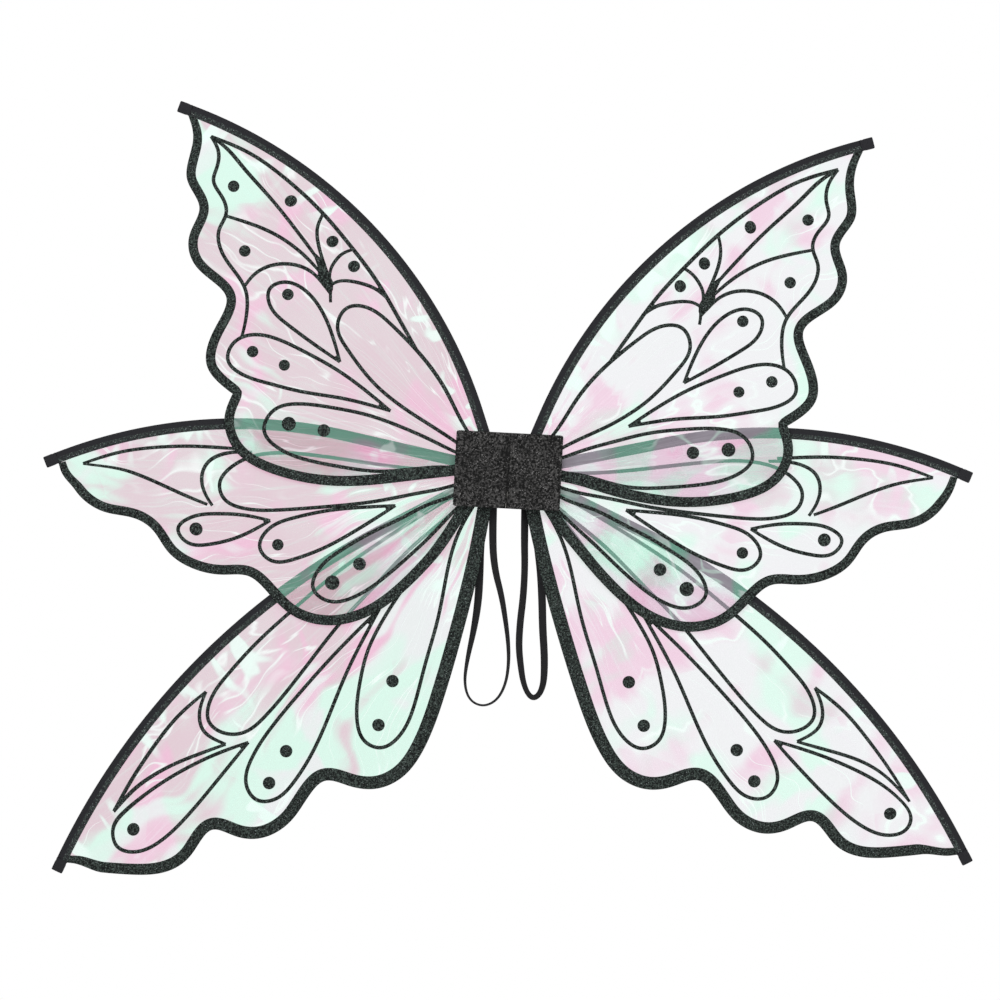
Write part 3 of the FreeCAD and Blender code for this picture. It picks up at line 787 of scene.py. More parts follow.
def leaf_grid(left, right, top, corner, columns, dense=0.0):
    """Flat grid of a hub leaf that runs over its edges: points, outward vectors and overrun.

    A corner square is pulled into the quarter circle of its radius, and what lies past an edge
    keeps the edge's point and grows in overrun. dense gathers the columns about the middle: it is
    the weight of a cubic that is mixed into their even spacing.
    """
    share_x, share_z = (np.concatenate([-1 - TURNED[::-1], np.linspace(-1, 1, count), 1 + TURNED])
                        for count in (columns, LEAF_ROWS))
    middle, half = (left + right) / 2, (right - left) / 2
    inside_x = np.clip(share_x, -1, 1)
    inside_x = (1 - dense) * inside_x + dense * inside_x**3
    x, z = np.meshgrid(inside_x * half, np.clip(share_z, -1, 1) * top, indexing="ij")
    over_x, over_z = np.meshgrid(np.maximum(abs(share_x) - 1, 0), np.maximum(abs(share_z) - 1, 0),
                                 indexing="ij")
    into_x = np.maximum(abs(x) - (half - corner), 0)
    into_z = np.maximum(abs(z) - (top - corner), 0)
    reach = np.hypot(into_x, into_z)
    pull = np.where(reach > 0, np.maximum(into_x, into_z) / np.maximum(reach, 1e-9), 1)
    x = np.sign(x) * (np.minimum(abs(x), half - corner) + into_x * pull)
    z = np.sign(z) * (np.minimum(abs(z), top - corner) + into_z * pull)
    outward = np.stack([np.sign(x) * (into_x + (over_x > 0) * 1e-6),
                        np.sign(z) * (into_z + (over_z > 0) * 1e-6)], -1)
    outward /= np.maximum(np.linalg.norm(outward, axis=-1), 1e-9)[..., None]
    return x + middle, z, outward, np.maximum(over_x, over_z)


def turned_over(over, cloth, run):
    """How far cloth goes outwards and back past an edge: a quarter turn, then straight back."""
    bend = np.clip(over / TURN_END, 0, 1) * math.pi / 2
    back = (1 - np.cos(bend)) * cloth + np.maximum(over - TURN_END, 0) * run
    return (cloth * np.sin(bend))[..., None], back


def leaf_mesh(name, flat, y, faces, thickness, attributes=None):
    """Open mesh of a leaf from its (x, z) points and depths, thickened inwards."""
    verts = spread(flat[..., 0], y, flat[..., 1]).reshape(-1, 3) * MM
    leaf = add_mesh(name, verts, faces, attributes, closed=False)
    shell = leaf.modifiers.new("Thickness", "SOLIDIFY")
    shell.thickness = thickness * MM
    shell.offset = -1
    return leaf


def make_cover(material):
    """Glitter cover: one cloth over both front boards, turned over their edges.

    Its depth is the boards' front plus the cloth, crowned between the edges, pressed in along the
    fold and raised over the ribs and the rivets.
    """
    hub = settings("wing_hub")
    low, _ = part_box("left_front_cover")
    _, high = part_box("right_front_cover")
    half, top, front = high.x / MM, high.z / MM, low.y / MM
    x, z, outward, over = leaf_grid(-half, half, top, 1.4, 121, dense=0.45)
    edge = np.minimum(half - abs(x), top - abs(z))
    crown = hub.crown / MM * ease(edge, 0, 16) * ease(abs(x), 2, 22)
    crease = hub.crease / MM * np.exp(-((x + 0.6 * np.sin(z / 9)) / 1.3) ** 2)
    crease *= 0.65 + 0.35 * ease(-z, -20, 30)
    rivets = 0.35 * np.exp(-((abs(x) - RIVET_OUT) ** 2 + z**2) / 30)
    ribs = 0.0
    for sign in SIDES.values():
        for kind, raised in RIB_RAISE.items():
            lean = math.radians(ANGLES[kind][sign > 0] + RIBS[kind]["lean"])
            u = (x * sign - RIVET_OUT) * math.cos(lean) + z * math.sin(lean)
            v = (x * sign - RIVET_OUT) * math.sin(lean) - z * math.cos(lean)
            ribs = ribs + raised * np.exp(-((v / 5) ** 2)) * ease(u, 4, 25) * (x * sign > 0)
    wrinkle = 0.1 * np.sin(x / 5.1 + 1.3 * np.sin(z / 8.7)) * np.sin(z / 6.3 + 0.8)
    swell = crown - crease + rivets + ribs + wrinkle * ease(edge, 0, 6)
    out, back = turned_over(over, hub.turn_in / MM, 1.25)
    flat = np.stack([x, z], -1) + outward * out
    x, z = flat[..., 0], flat[..., 1]
    # fold: painted shade along the fold line, stronger towards the bottom; it dims the glitter
    # there.
    fold = np.exp(-((x / 1.6) ** 2)) * (0.35 + 0.65 * ease(-z, -12, 12))
    cover = leaf_mesh("hub_cover", flat, front - swell * (over == 0) + back,
                      grid_faces(*x.shape)[:, ::-1], 0.6, {"fold": fold.ravel()})
    cover.data.materials.append(material)
    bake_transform(cover)
    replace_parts(cover, "left_front_cover", "right_front_cover")
    return cover


def make_lining(side, material):
    """Felt lining: a leaf over one back board, turned over its edges except along the fold."""
    low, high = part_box(f"{side}_back_lining")
    left, right, top = low.x / MM, high.x / MM, high.z / MM
    x, z, outward, over = leaf_grid(left, right, top, 3, 61)
    outward[..., 0] = np.where(outward[..., 0] * SIDES[side] < 0, 0, outward[..., 0])
    edge = np.minimum(np.minimum(x - left, right - x), top - abs(z))
    bump = 0.12 * np.sin(x / 4.1) * np.sin(z / 5.3 + x / 11) * ease(edge, 0, 5)
    out, back = turned_over(over, 0.7, 1.2)
    lining = leaf_mesh(f"{side}_felt_lining", np.stack([x, z], -1) + outward * out,
                       high.y / MM - 0.15 + bump - back, grid_faces(*x.shape), 0.5)
    finish_piece(lining, material, f"{side}_hub")
    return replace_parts(lining, f"{side}_back_lining")


def rounded_slab(low, high, corner):
    """Closed slab between two corners: a superellipse section in XZ with softened faces in Y."""
    half, middle = (high - low) / 2, (high + low) / 2
    rise = np.linspace(-math.pi / 2, math.pi / 2, 9)
    inset = np.concatenate([[6 * corner, 3 * corner], corner * (1 - np.cos(rise)),
                            [3 * corner, 6 * corner]])[:, None]
    level = np.concatenate([[-1, -1], np.sin(rise), [1, 1]])[:, None]
    ring = rounded_ring(96, 2 / 14, 1, 1)
    verts = spread(ring[:, 0] * (half[0] - inset), level * half[1], ring[:, 1] * (half[2] - inset))
    return verts.reshape(-1, 3) + middle, tube_faces(*verts.shape[:2])


def make_tab(side, material, thread):
    """Sewn tab that holds both ends of an elastic loop, with its box of stitches."""
    low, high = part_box(f"{side}_strap_anchor")
    bottom = np.array([low.x, TAB_FRONT * MM, low.z + TAB_SHORTER * MM])
    top = np.array([high.x, TAB_BACK * MM, high.z + TAB_HIGHER * MM])
    verts, faces = rounded_slab(bottom, top, 0.6 * MM)
    tab = Builder()
    tab.add(verts, faces, (verts - (bottom + top) / 2)[:, [2, 0, 1]])
    piece = tab.finish(f"{side}_strap_tab", material, f"{side}_hub", "black_elastic")
    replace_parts(piece, f"{side}_strap_anchor")
    inner, outer = bottom[0] + TAB_MARGINS[0] * MM, top[0] - TAB_MARGINS[0] * MM
    lower, upper = bottom[2] + TAB_MARGINS[1] * MM, top[2] - TAB_MARGINS[1] * MM
    corners = np.array([(inner, lower), (outer, lower), (outer, upper), (inner, upper)])
    seams = Builder()
    for line in (corners[[0, 1, 2, 3, 0, 2]], corners[[3, 1]]):
        at = np.arange(0.8 * MM, distance_along(line)[-1], TAB_PITCH * MM)
        points = resample(line, at)
        ahead = resample(line, at + 0.2 * MM) - points
        moves = np.linalg.norm(ahead, axis=1) > 0
        points, ahead = points[moves], unit(ahead[moves])
        stitch_row(seams, spread(points[:, 0], top[1] + 0.02 * MM, points[:, 1]),
                   spread(ahead[:, 0], 0, ahead[:, 1]), 1.7 * MM, 0.2 * MM)
    seams.finish(f"{side}_tab_stitching", thread, f"{side}_hub", "black_elastic")
    return piece


# ---- elastic loops


def route_points(side):
    """Points on the smooth line of a loop: a NURBS spline with the route as control points."""
    curve = bpy.data.curves.new(f"{side}_route", "CURVE")
    curve.dimensions = "3D"
    curve.resolution_u = 16
    spline = curve.splines.new("NURBS")
    spline.points.add(len(STRAP_ROUTES[side]) - 1)
    for point, (x, z) in zip(spline.points, STRAP_ROUTES[side]):
        point.co = (x * MM, STRAP_DEPTH * MM, z * MM, 1)
    spline.order_u = 3
    spline.use_endpoint_u = True
    holder = bpy.data.objects.new(f"{side}_route", curve)
    bpy.context.scene.collection.objects.link(holder)
    bpy.context.view_layer.update()
    mesh = bpy.data.meshes.new_from_object(
        holder.evaluated_get(bpy.context.evaluated_depsgraph_get()))
    points = np.array([vertex.co for vertex in mesh.vertices])
    bpy.data.objects.remove(holder)
    bpy.data.curves.remove(curve)
    bpy.data.meshes.remove(mesh)
    return points


def make_loop(side, material):
    """Elastic loop: a flat woven band carried along its smooth line, turned on edge in places.

    The section is a superellipse, and its width turns about the line from the plane of the wings
    towards the wearer.
    """
    strap = settings("wing_strap")
    length, turns = STRAPS[side]
    line = route_points(side)
    total = distance_along(line)[-1]
    share = np.linspace(0, 1, STRAP_RINGS)
    line = resample(line, share * total)
    tangent = unit(np.gradient(line, axis=0))
    beside = spread(-tangent[:, 2], 0, tangent[:, 0])
    angle = np.radians(np.interp(share, *np.array(turns).T))
    angle = np.convolve(np.pad(angle, 10, mode="edge"), np.ones(21) / 21, "valid")[:, None]
    toward = np.array([0, 1.0, 0])
    wide = np.cos(angle) * beside + np.sin(angle) * toward
    thin = -np.sin(angle) * beside + np.cos(angle) * toward
    ring = rounded_ring(32, 0.5, strap.width / 2, strap.thickness / 2)
    verts = line[:, None] + ring[None, :, :1] * wide[:, None] + ring[None, :, 1:] * thin[:, None]
    band = Builder()
    band.add(verts, tube_faces(*verts.shape[:2]),
             spread((share * total)[:, None], ring[:, 0], np.sign(ring[:, 1])))
    piece = band.finish(f"{side}_elastic_loop", material, f"{side}_hub", "black_elastic")
    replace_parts(piece, f"{side}_strap_loop")
    return piece


# ---- shader building

FILM_MILK = 0.28  # share of the film's milky, glossy layer
FILM_GLOSS = 0.8  # specular level of that layer
BLACK_GLOSS = 0.15  # specular level of the black cloths and of the print


class Shader:
    """Short names for building a node tree."""

    def __init__(self, tree):
        self.tree = tree

    def node(self, kind, inputs=None, **options):
        made = self.tree.nodes.new(kind)
        for key, value in options.items():
            setattr(made, key, value)
        self.fill(made.inputs, inputs or {})
        return made

    def fill(self, sockets, values):
        """Links or sets sockets, by name or number, from a table of sockets and values."""
        for key, value in values.items():
            if isinstance(value, bpy.types.NodeSocket):
                self.tree.links.new(value, sockets[key])
            else:
                sockets[key].default_value = value

    def math(self, operation, *values):
        return self.node("ShaderNodeMath", dict(enumerate(values)), operation=operation).outputs[0]

    def times(self, first, second):
        return self.math("MULTIPLY", first, second)

    def minus(self, first, second):
        return self.math("SUBTRACT", first, second)

    def line(self, value, slope, start):
        """A straight line: slope times the value, plus start."""
        return self.math("MULTIPLY_ADD", value, slope, start)

    def most(self, first, second):
        return self.math("MAXIMUM", first, second)

    def vector(self, operation, *values):
        return self.node("ShaderNodeVectorMath", dict(enumerate(values)),
                         operation=operation).outputs[0]

    def mix(self, share, first, second):
        """Colour mix: first at share 0, second at share 1."""
        return self.node("ShaderNodeMix", {0: share, 6: rgba(first), 7: rgba(second)},
                         data_type="RGBA").outputs[2]

    def ramp(self, value, low, high):
        """Smooth step of a value from 0 at low to 1 at high."""
        return self.node("ShaderNodeMapRange", {0: value, 1: low, 2: high, 3: 0.0, 4: 1.0},
                         interpolation_type="SMOOTHSTEP", clamp=True).outputs[0]

    def noise(self, vector, scale, detail=3.0, rough=0.5, distortion=0.0, output="Fac"):
        return self.node("ShaderNodeTexNoise", {
            "Vector": vector, "Scale": scale, "Detail": detail, "Roughness": rough,
            "Distortion": distortion}).outputs[output]

    def stretched(self, vector, scale):
        return self.node("ShaderNodeMapping", {"Vector": vector, "Scale": scale}).outputs[0]

    def attribute(self, name, output="Fac"):
        return self.node("ShaderNodeAttribute", attribute_name=name).outputs[output]

    def on_piece(self):
        """Object coordinates."""
        return self.node("ShaderNodeTexCoord").outputs["Object"]

    def parts(self, vector):
        return self.node("ShaderNodeSeparateXYZ", {0: vector}).outputs

    def group(self, name, **inputs):
        """A shared effect, placed with its own values."""
        return self.node("ShaderNodeGroup", inputs, node_tree=effect(name)).outputs

    def bump(self, height, distance, strength=1.0, normal=None):
        inputs = {"Height": height, "Distance": distance, "Strength": strength}
        if normal is not None:
            inputs["Normal"] = normal
        return self.node("ShaderNodeBump", inputs).outputs[0]


def rgba(value):
    """A colour with its alpha, or the socket that it comes from."""
    if isinstance(value, bpy.types.NodeSocket) or len(value) == 4:
        return value
    return (*value, 1.0)


def paler(colour, times):
    """A colour made lighter, or darker when times is below one."""
    return tuple(times * part for part in colour)


def new_material(name):
    """A new material, the helper for its tree and the inputs of its Principled shader."""
    material = bpy.data.materials.new(name)
    material.use_nodes = True
    return material, Shader(material.node_tree), material.node_tree.nodes["Principled BSDF"].inputs


def node_group(name, inputs, outputs):
    """An empty node group with float inputs and typed outputs."""
    tree = bpy.data.node_groups.new(name, "ShaderNodeTree")
    for key, value in inputs.items():
        socket = tree.interface.new_socket(key, in_out="INPUT", socket_type="NodeSocketFloat")
        socket.default_value = value
    for key, kind in outputs.items():
        tree.interface.new_socket(key, in_out="OUTPUT", socket_type=f"NodeSocket{kind}")
    make = Shader(tree)
    return tree, make, make.node("NodeGroupInput").outputs, make.node("NodeGroupOutput").inputs


def flakes_group():
    """Glitter: cells of a Voronoi pattern, some of them bright, each with a tilt of its own.

    Speck is the softer mottling of the flakes that don't catch the light.
    """
    tree, make, given, result = node_group(
        "glitter flakes", {"Size": 0.0009, "Share": 0.16}, {"Mask": "Float", "Colour": "Color",
                                                            "Normal": "Vector", "Speck": "Float"})
    place = make.on_piece()
    scale = make.math("DIVIDE", 1.0, given["Size"])
    cells = make.node("ShaderNodeTexVoronoi", {"Vector": place, "Scale": scale}).outputs
    luck = make.node("ShaderNodeSeparateColor", {"Color": cells["Color"]}).outputs
    threshold = make.minus(1.0, given["Share"])
    bright = make.ramp(luck[0], threshold, make.math("ADD", threshold, 0.12))
    green = make.mix(luck[1], (0.35, 0.62, 0.48), (0.75, 0.72, 0.68))
    normal = make.node("ShaderNodeNewGeometry").outputs["Normal"]
    tilt = make.vector("SUBTRACT", cells["Color"], (0.5, 0.5, 0.5))
    tilt = make.vector("MULTIPLY", tilt, (0.9, 0.9, 0.9))
    make.fill(result, {
        "Mask": make.times(bright, make.ramp(cells["Distance"], 0.62, 0.3)),
        "Colour": make.mix(luck[2], green, (0.6, 0.66, 0.7)),
        "Speck": make.ramp(make.noise(place, make.times(scale, 0.5), 2.0, 0.6), 0.42, 0.66),
        "Normal": make.vector("NORMALIZE", make.vector("ADD", normal, tilt))})
    return tree


def weave_group():
    """Plain weave on the flow attribute: two sets of threads that pass over each other. Its Shade
    is painted shade, paler on the raised crossings, with random tone mixed in.
    """
    tree, make, given, result = node_group(
        "weave", {"Thread": 0.0006, "Stretch": 1.0}, {"Height": "Float", "Shade": "Float"})
    flow = make.attribute("flow", "Vector")
    axes = make.parts(flow)
    pitch = make.math("DIVIDE", 2 * math.pi, given["Thread"])
    warp = make.math("SINE", make.times(axes[0], make.math("DIVIDE", pitch, given["Stretch"])))
    weft = make.math("SINE", make.times(axes[1], pitch))
    crossing = make.times(warp, weft)
    ridge = make.most(make.math("ABSOLUTE", warp), make.math("ABSOLUTE", weft))
    make.fill(result, {"Height": make.line(crossing, 0.35, ridge),
                       "Shade": make.line(crossing, 0.25, make.noise(flow, 900.0, 2.0))})
    return tree


def grain_group():
    """Slow and fast variation for dust, wear and paper: two noises on object coordinates."""
    tree, make, given, result = node_group(
        "grain", {"Coarse": 40.0, "Fine": 900.0}, {"Blotch": "Float", "Speck": "Float"})
    place = make.on_piece()
    make.fill(result, {"Blotch": make.noise(place, given["Coarse"], 4.0),
                       "Speck": make.noise(place, given["Fine"], 3.0, 0.7)})
    return tree


EFFECTS = {"glitter flakes": flakes_group, "weave": weave_group, "grain": grain_group}


def effect(name):
    """A shared node group, built the first time that it is asked for."""
    return bpy.data.node_groups.get(name) or EFFECTS[name]()


def film_material():
    """Iridescent film: a tinted see-through layer under a milky, glossy one.

    The flow attribute holds the distance from the pivot, the angle round it and the side. Pink and
    mint alternate in rays out of the hub and in bands across them, and pale lines of painted
    highlight follow their borders; painted highlight strokes lie beside the ribs. The tint
    attribute says where the film is pink and where it is mint.
    """
    values = settings("wing_film")
    material, make, gloss = new_material("iridescent film")
    flow, place = make.attribute("flow", "Vector"), make.on_piece()
    right = make.ramp(make.parts(flow)[2], -1.0, 1.0)
    # The pattern, on coordinates that a slow noise pushes about
    pushed = make.vector("MULTIPLY_ADD", make.noise(place, 9.0, 2.0, output="Color"),
                         (0.05, 0.3, 0.0), flow)
    bands = make.noise(make.stretched(pushed, (22.0, 1.8, 3.0)), 1.0, 1.0, 0.4)
    rays = make.noise(make.stretched(pushed, (3.2, 13.0, 3.0)), 1.0, 1.5)
    cells = make.node("ShaderNodeTexVoronoi",
                      {"Vector": make.stretched(pushed, (14.0, 7.0, 3.0)), "Scale": 1.0})
    facet = make.node("ShaderNodeSeparateColor", {"Color": cells.outputs["Color"]}).outputs[0]
    pattern = make.line(make.minus(bands, rays), make.line(right, 0.4, 0.3), rays)
    turned = make.line(make.minus(pattern, 0.5), 6.0, make.attribute("tint"))
    mint = make.ramp(make.line(make.minus(facet, 0.5), 0.35, turned), -0.45, 0.4)
    # Painted highlights: pale lines on the pattern's borders and strokes beside the ribs; also fine
    # streaks
    wide = make.noise(place, 8.0, 2.0, distortion=0.8)
    # Painted highlight: pale lines on the pattern's borders, where light catches the film's
    # creases.
    border = make.math("ABSOLUTE", make.minus(pattern, 0.5))
    ray_border = make.math("ABSOLUTE", make.minus(rays, 0.47))
    lines = make.most(make.times(make.ramp(border, 0.022, 0.0), make.ramp(wide, 0.46, 0.58)),
                      make.times(make.ramp(ray_border, 0.01, 0.0), make.ramp(wide, 0.50, 0.42)))
    fine = make.noise(make.stretched(flow, (9.0, 60.0, 3.0)), 1.0, 3.0, 0.6, 0.6)
    streak = make.ramp(fine, 0.5, 0.72)
    # Painted highlight strokes: crisp streaks that whiten the tint and the glossy layer, beside the
    # ribs and, on the left side, in patches too.
    highlight_strokes = make.noise(make.stretched(pushed, (46.0, 4.5, 3.0)), 1.0, 1.0, 0.4, 0.3)
    reach = make.most(make.attribute("beside_rib"),
                      make.minus(make.ramp(wide, 0.56, 0.64), right))
    painted_highlight = make.times(make.ramp(highlight_strokes, 0.55, 0.63), make.ramp(reach, 0.15, 0.5))
    # The light that passes, and the light that the film throws back
    pale = make.line(make.ramp(wide, 0.4, 0.62), 0.16, make.times(streak, 0.2))
    faded = make.times(right, 0.55)
    passing = make.mix(mint, make.mix(faded, values.pink, (0.93, 0.74, 0.84)),
                       make.mix(faded, values.mint, (0.97, 1.0, 0.98)))
    # The pale tone, then the painted highlights of the lines and of the strokes, are mixed into the
    # tint.
    for share, colour in ((pale, (0.97, 0.94, 0.96)), (make.times(lines, 0.7), (0.97, 0.99, 0.98)),
                          (make.times(painted_highlight, 0.8), (0.84, 1.0, 0.93))):
        passing = make.mix(share, passing, colour)
    glass = make.node("ShaderNodeBsdfTransparent", {"Color": passing})
    turn = make.line(right, -0.13, make.noise(place, 12.0, 2.0, distortion=1.0))
    back = make.mix(make.ramp(turn, 0.36, 0.50), (0.76, 0.69, 0.80), values.sheen)
    # marks holds both painted highlights, the pale lines and the strokes: they whiten the glossy
    # layer and raise its share.
    marks = make.most(painted_highlight, lines)
    make.fill(gloss, {
        "Base Color": make.mix(marks, back, (0.82, 1.0, 0.94)),
        "Roughness": make.line(fine, 0.2, 0.08),
        "Specular IOR Level": FILM_GLOSS,
        "Normal": make.bump(make.line(fine, 0.3, make.times(pattern, 3.0)), 0.002, 0.6)})
    share = make.line(streak, 0.06, make.line(mint, 0.05, FILM_MILK))
    share = make.line(marks, 0.12, share)
    layers = make.tree.nodes
    joined = make.node("ShaderNodeMixShader", {0: share, 1: glass.outputs[0],
                                               2: layers["Principled BSDF"].outputs[0]})
    make.fill(layers["Material Output"].inputs, {"Surface": joined.outputs[0]})
    return material


def print_material():
    """Glitter print: black ink with a mottling of fine flakes, a few of them bright."""
    values = settings("wing_print")
    material, make, finish = new_material("glitter print")
    fine = make.group("glitter flakes", Size=values.flake, Share=0.12)
    base = make.mix(fine["Speck"], values.ink, values.mottling)
    make.fill(finish, {
        "Base Color": make.mix(make.times(fine["Mask"], 0.45), base, fine["Colour"]),
        "Metallic": make.times(fine["Mask"], 0.8),
        "Roughness": make.line(fine["Mask"], -0.3, 0.7),
        "Specular IOR Level": BLACK_GLOSS,
        "Normal": make.bump(fine["Speck"], 0.0002, 0.6, fine["Normal"])})
    return material


def sleeve_material():
    """Black binding cloth, with the film's glitter print along its inner half in front."""
    cloth = settings("wing_sleeve").cloth
    material, make, finish = new_material("sleeve cloth")
    threads = make.group("weave", Thread=0.0007)
    flow = make.attribute("flow", "Vector")
    axes = make.parts(flow)
    ragged = make.times(make.minus(make.noise(flow, 700.0, 2.0), 0.5), 0.0016)
    inner = make.ramp(make.math("ADD", axes[1], ragged), -0.0002, 0.0006)
    inner = make.times(inner, make.math("LESS_THAN", axes[2], 0.0))
    fine = make.group("glitter flakes", Size=0.0008, Share=0.14)
    mask = make.times(fine["Mask"], inner)
    # The weave's Shade paints shade between the threads onto the cloth's colour.
    base = make.mix(threads["Shade"], cloth, paler(cloth, 2.2))
    base = make.mix(make.times(fine["Speck"], inner), base, settings("wing_print").mottling)
    make.fill(finish, {
        "Base Color": make.mix(make.times(mask, 0.5), base, fine["Colour"]),
        "Metallic": mask,
        "Roughness": make.line(mask, -0.45, 0.78),
        "Specular IOR Level": BLACK_GLOSS,
        "Normal": make.bump(threads["Height"], 0.00015, 0.6)})
    return material


def cloth_material(name, colour, thread, stretch, rough):
    """Woven black cloth or elastic on the flow attribute."""
    material, make, finish = new_material(name)
    threads = make.group("weave", Thread=thread, Stretch=stretch)
    # The weave's Shade paints shade between the threads onto the colour.
    make.fill(finish, {
        "Base Color": make.mix(threads["Shade"], tuple(colour), paler(colour, 2.4)),
        "Roughness": make.line(threads["Shade"], 0.15, rough),
        "Specular IOR Level": BLACK_GLOSS,
        "Normal": make.bump(threads["Height"], 0.0002, 0.7)})
    return material


def cover_material():
    """Glitter cloth of the hub: mottled grey flakes on black, dimmed along the fold as painted
    shade.
    """
    material, make, finish = new_material("glitter cloth")
    small = make.group("glitter flakes", Size=0.0011, Share=0.2)
    blotch = make.group("grain", Coarse=60.0)["Blotch"]
    # The fold's painted shade dims the flakes and the mottling; the blotches thin them at random.
    shown = make.times(make.line(make.attribute("fold"), -0.85, 1.0), make.ramp(blotch, 0.1, 0.6))
    mask = make.times(small["Mask"], shown)
    base = make.mix(make.times(small["Speck"], shown), (0.004, 0.004, 0.004),
                    (0.075, 0.073, 0.072))
    make.fill(finish, {
        "Base Color": make.mix(make.times(mask, 0.4), base, (0.45, 0.44, 0.44)),
        "Metallic": make.times(mask, 0.7),
        "Roughness": make.line(mask, -0.4, 0.75),
        "Specular IOR Level": BLACK_GLOSS,
        "Normal": make.bump(small["Speck"], 0.0004, 0.7, small["Normal"])})
    return material


def grained_material(name, scales, colours, rough, dents, over=None, plain=None):
    """A finish that varies with the grain.

    scales are those of the grain's two noises, colours the two that its blotches run between,
    rough what its specks add to the roughness and the roughness without them, and dents their
    depth and strength. over adds a second layer to the colour and to the height of the dents.
    """
    material, make, finish = new_material(name)
    grain = make.group("grain", Coarse=scales[0], Fine=scales[1])
    colour, height = make.mix(grain["Blotch"], *colours), grain["Speck"]
    if over:
        colour, height = over(make, colour, height)
    make.fill(finish, {"Base Color": colour, "Roughness": make.line(grain["Speck"], *rough),
                       "Normal": make.bump(height, *dents), **(plain or {})})
    return material


def lint(make, colour, height):
    """Paler fibres on felt, where the specks are strongest."""
    share = make.times(make.ramp(height, 0.6, 0.75), 0.5)
    return make.mix(share, colour, (0.12, 0.12, 0.13)), height


def pressed_layers(make, colour, height):
    """The layers of a board, which show on its cut edges."""
    layers = make.noise(make.stretched(make.on_piece(), (30.0, 4200.0, 30.0)), 1.0, 2.0)
    return (make.mix(make.times(layers, 0.5), colour, (0.2, 0.19, 0.18)),
            make.math("ADD", height, layers))


def steel_material(name, dull):
    """Bright steel: fine drawing marks, with a duller film in blotches."""
    return grained_material(name, (220.0, 4000.0), ((0.62, 0.63, 0.65), (0.45, 0.45, 0.46)),
                            (0.2, dull), (0.00005, 0.4), plain={"Metallic": 1.0})


def stage_material(name, colour):
    """Matt surface of the stage, a little uneven."""
    material, make, finish = new_material(name)
    blotch = make.group("grain", Coarse=6.0, Fine=300.0)["Blotch"]
    make.fill(finish, {"Base Color": make.mix(blotch, colour, paler(colour, 0.96)),
                       "Roughness": 0.8})
    return material


def material_of(key):
    """A finish by its name, built the first time that it is asked for."""
    sleeve, strap = settings("wing_sleeve"), settings("wing_strap")
    felt = settings("wing_hub").felt
    makers = {
        "iridescent film": film_material,
        "glitter print": print_material,
        "sleeve cloth": sleeve_material,
        "glitter cloth": cover_material,
        "cap cloth": lambda: cloth_material(key, sleeve.cloth, 0.0007, 1.0, 0.6),
        "sewing thread": lambda: cloth_material(key, (0.02, 0.02, 0.022), 0.0004, 1.0, 0.6),
        "woven elastic": lambda: cloth_material(key, strap.elastic, 0.0008, 0.6, 0.72),
        "black felt": lambda: grained_material(
            key, (140.0, 2600.0), (felt, paler(felt, 2)), (0.1, 0.88), (0.0005, 0.8), over=lint,
            plain={"Specular IOR Level": BLACK_GLOSS}),
        "grey card": lambda: grained_material(
            key, (90.0, 1800.0), ((0.30, 0.29, 0.27), (0.44, 0.43, 0.40)), (0.15, 0.78),
            (0.0002, 0.5), over=pressed_layers),
        "spring steel": lambda: steel_material(key, 0.28),
        "rivet steel": lambda: steel_material(key, 0.2),
        "nylon": lambda: grained_material(
            key, (120.0, 2400.0), ((0.82, 0.82, 0.78), (0.74, 0.73, 0.68)), (0.2, 0.35),
            (0.0001, 0.3), plain={"Subsurface Weight": 0.15, "Subsurface Scale": 0.001}),
    }
    return bpy.data.materials.get(key) or makers[key]()


# ---- operators

CAMERA_LENS = 85
CAMERA_ROLL = 3
CAMERA_PLACE = (-0.0065, -2.369, -0.0296)
FLOOR_LEVEL = -0.75
# The finish of each CAD solid that is shown as it is.
FINISHES = {"back_board": "grey card", "front_board": "grey card", "core_strip": "grey card",
            "pivot_rivet": "rivet steel", "pivot_washers": "nylon",
            "upper_rib_wire": "spring steel", "middle_rib_wire": "spring steel",
            "lower_rib_wire": "spring steel"}
# The lights: name, place, width and power.
LIGHTS = (("key light", (-1.1, -1.9, 1.3), 1.2, 26), ("fill light", (1.5, -1.6, 0.4), 1.4, 14),
          ("back light", (0.3, 1.8, 1.2), 1.6, 16))


class WINGS_OT_camera(bpy.types.Operator):
    """Add the camera, square to the wings and turned three degrees about its own line of sight"""

    bl_idname = "wings.camera"
    bl_label = "Camera"

    def execute(self, context):
        data = bpy.data.cameras.new("camera")
        data.lens = CAMERA_LENS
        data.sensor_width = 36
        camera = bpy.data.objects.new("camera", data)
        context.scene.collection.objects.link(camera)
        roll = math.radians(CAMERA_ROLL)
        right = Vector((math.cos(roll), 0, math.sin(roll)))
        up = Vector((-math.sin(roll), 0, math.cos(roll)))
        turn = Matrix((right, up, right.cross(up))).transposed().to_4x4()
        camera.matrix_world = Matrix.Translation(CAMERA_PLACE) @ turn
        context.scene.camera = camera
        return {"FINISHED"}


class WINGS_OT_loops(bpy.types.Operator):
    """Add the two elastic loops and the sewn tabs that hold them"""

    bl_idname = "wings.loops"
    bl_label = "Elastic loops"

    def execute(self, context):
        for side in SIDES:
            make_loop(side, material_of("woven elastic"))
            make_tab(side, material_of("woven elastic"), material_of("sewing thread"))
        return {"FINISHED"}


class WINGS_OT_wings(bpy.types.Operator):
    """Add the six film sheets with their glitter print"""

    bl_idname = "wings.wings"
    bl_label = "Film and print"

    def execute(self, context):
        for side in SIDES:
            for kind in KINDS:
                film, flat, area = make_film(kind, side, material_of("iridescent film"))
                printed = make_print(kind, side, material_of("glitter print"))
        return {"FINISHED"}


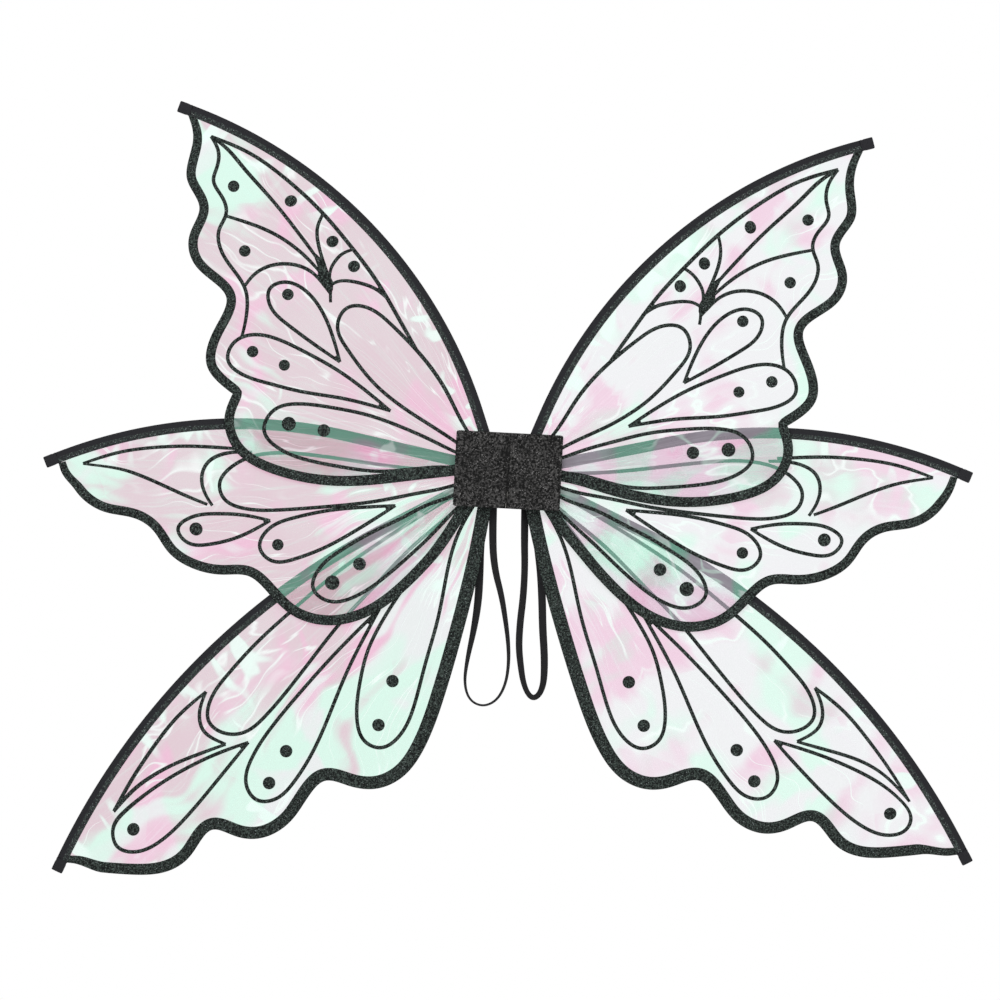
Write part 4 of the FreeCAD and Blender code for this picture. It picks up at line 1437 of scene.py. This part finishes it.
class WINGS_OT_ribs(bpy.types.Operator):
    """Add the rib sleeves, their stitching and the tip caps"""

    bl_idname = "wings.ribs"
    bl_label = "Rib sleeves and caps"

    def execute(self, context):
        for side in SIDES:
            for kind in KINDS:
                make_sleeve(kind, side, material_of("sleeve cloth"))
                make_stitching(kind, side, material_of("sewing thread"))
                make_cap(kind, side, material_of("cap cloth"))
        return {"FINISHED"}


class WINGS_OT_hub(bpy.types.Operator):
    """Add the glitter cover and the felt linings, and finish the hub's boards and rivets"""

    bl_idname = "wings.hub"
    bl_label = "Hub"

    def execute(self, context):
        make_cover(material_of("glitter cloth"))
        for side in SIDES:
            make_lining(side, material_of("black felt"))
            for node, finish in FINISHES.items():
                materials = frame["nodes"][f"{side}_{node}"].data.materials
                materials.clear()
                materials.append(material_of(finish))
        return {"FINISHED"}


class WINGS_OT_stage(bpy.types.Operator):
    """Add the pale floor, the white surroundings and the soft lights"""

    bl_idname = "wings.stage"
    bl_label = "Stage"

    def execute(self, context):
        turn = np.linspace(0, 2 * math.pi, 128, endpoint=False)
        radii = np.array([0.97, 1.0, 1.0, 0.97])[:, None]
        levels = FLOOR_LEVEL - np.array([0, 0.002, 0.008, 0.01])[:, None]
        rings = spread(radii * np.cos(turn), radii * np.sin(turn), levels)
        floor = add_mesh("floor", rings.reshape(-1, 3), tube_faces(*rings.shape[:2]))
        floor.data.materials.append(stage_material("pale floor", (0.86, 0.86, 0.85)))
        world = context.scene.world or bpy.data.worlds.new("surroundings")
        context.scene.world = world
        world.use_nodes = True
        make = Shader(world.node_tree)
        seen = make.node("ShaderNodeLightPath").outputs["Is Camera Ray"]
        make.fill(world.node_tree.nodes["Background"].inputs,
                  {"Color": (1, 1, 1, 1), "Strength": make.line(seen, 0.4, 0.6)})
        context.scene.view_settings.view_transform = "Standard"
        for name, place, size, power in LIGHTS:
            data = bpy.data.lights.new(name, "AREA")
            data.size = size
            data.energy = power
            light = bpy.data.objects.new(name, data)
            context.scene.collection.objects.link(light)
            facing = (-Vector(place)).to_track_quat("-Z", "Y").to_matrix().to_4x4()
            light.matrix_world = Matrix.Translation(place) @ facing
        return {"FINISHED"}


OPERATORS = (WINGS_OT_camera, WINGS_OT_loops, WINGS_OT_wings, WINGS_OT_ribs, WINGS_OT_hub,
             WINGS_OT_stage)


class WINGS_PT_panel(bpy.types.Panel):
    """Lists the steps and the settings"""

    bl_idname = "WINGS_PT_panel"
    bl_label = "Fairy wings"
    bl_space_type = "VIEW_3D"
    bl_region_type = "UI"
    bl_category = "Fairy wings"

    def draw(self, context):
        for operator in OPERATORS:
            self.layout.operator(operator.bl_idname)
        for name, group in SETTINGS.items():
            box = self.layout.box()
            for key in group.__annotations__:
                box.prop(getattr(context.scene, name), key)


def register():
    """Registers the classes and puts each group of settings on the scene."""
    for item in (*SETTINGS.values(), *OPERATORS, WINGS_PT_panel):
        bpy.utils.register_class(item)
    for name, group in SETTINGS.items():
        setattr(bpy.types.Scene, name, PointerProperty(type=group))


def unregister():
    """Takes the settings off the scene and unregisters the classes."""
    for name in SETTINGS:
        delattr(bpy.types.Scene, name)
    for item in (WINGS_PT_panel, *OPERATORS, *SETTINGS.values()):
        bpy.utils.unregister_class(item)


def main():
    """Builds everything in order."""
    register()
    for step in (bpy.ops.wings.camera, bpy.ops.wings.loops, bpy.ops.wings.wings,
                 bpy.ops.wings.ribs, bpy.ops.wings.hub, bpy.ops.wings.stage):
        step()


if __name__ == "__main__":
    main()
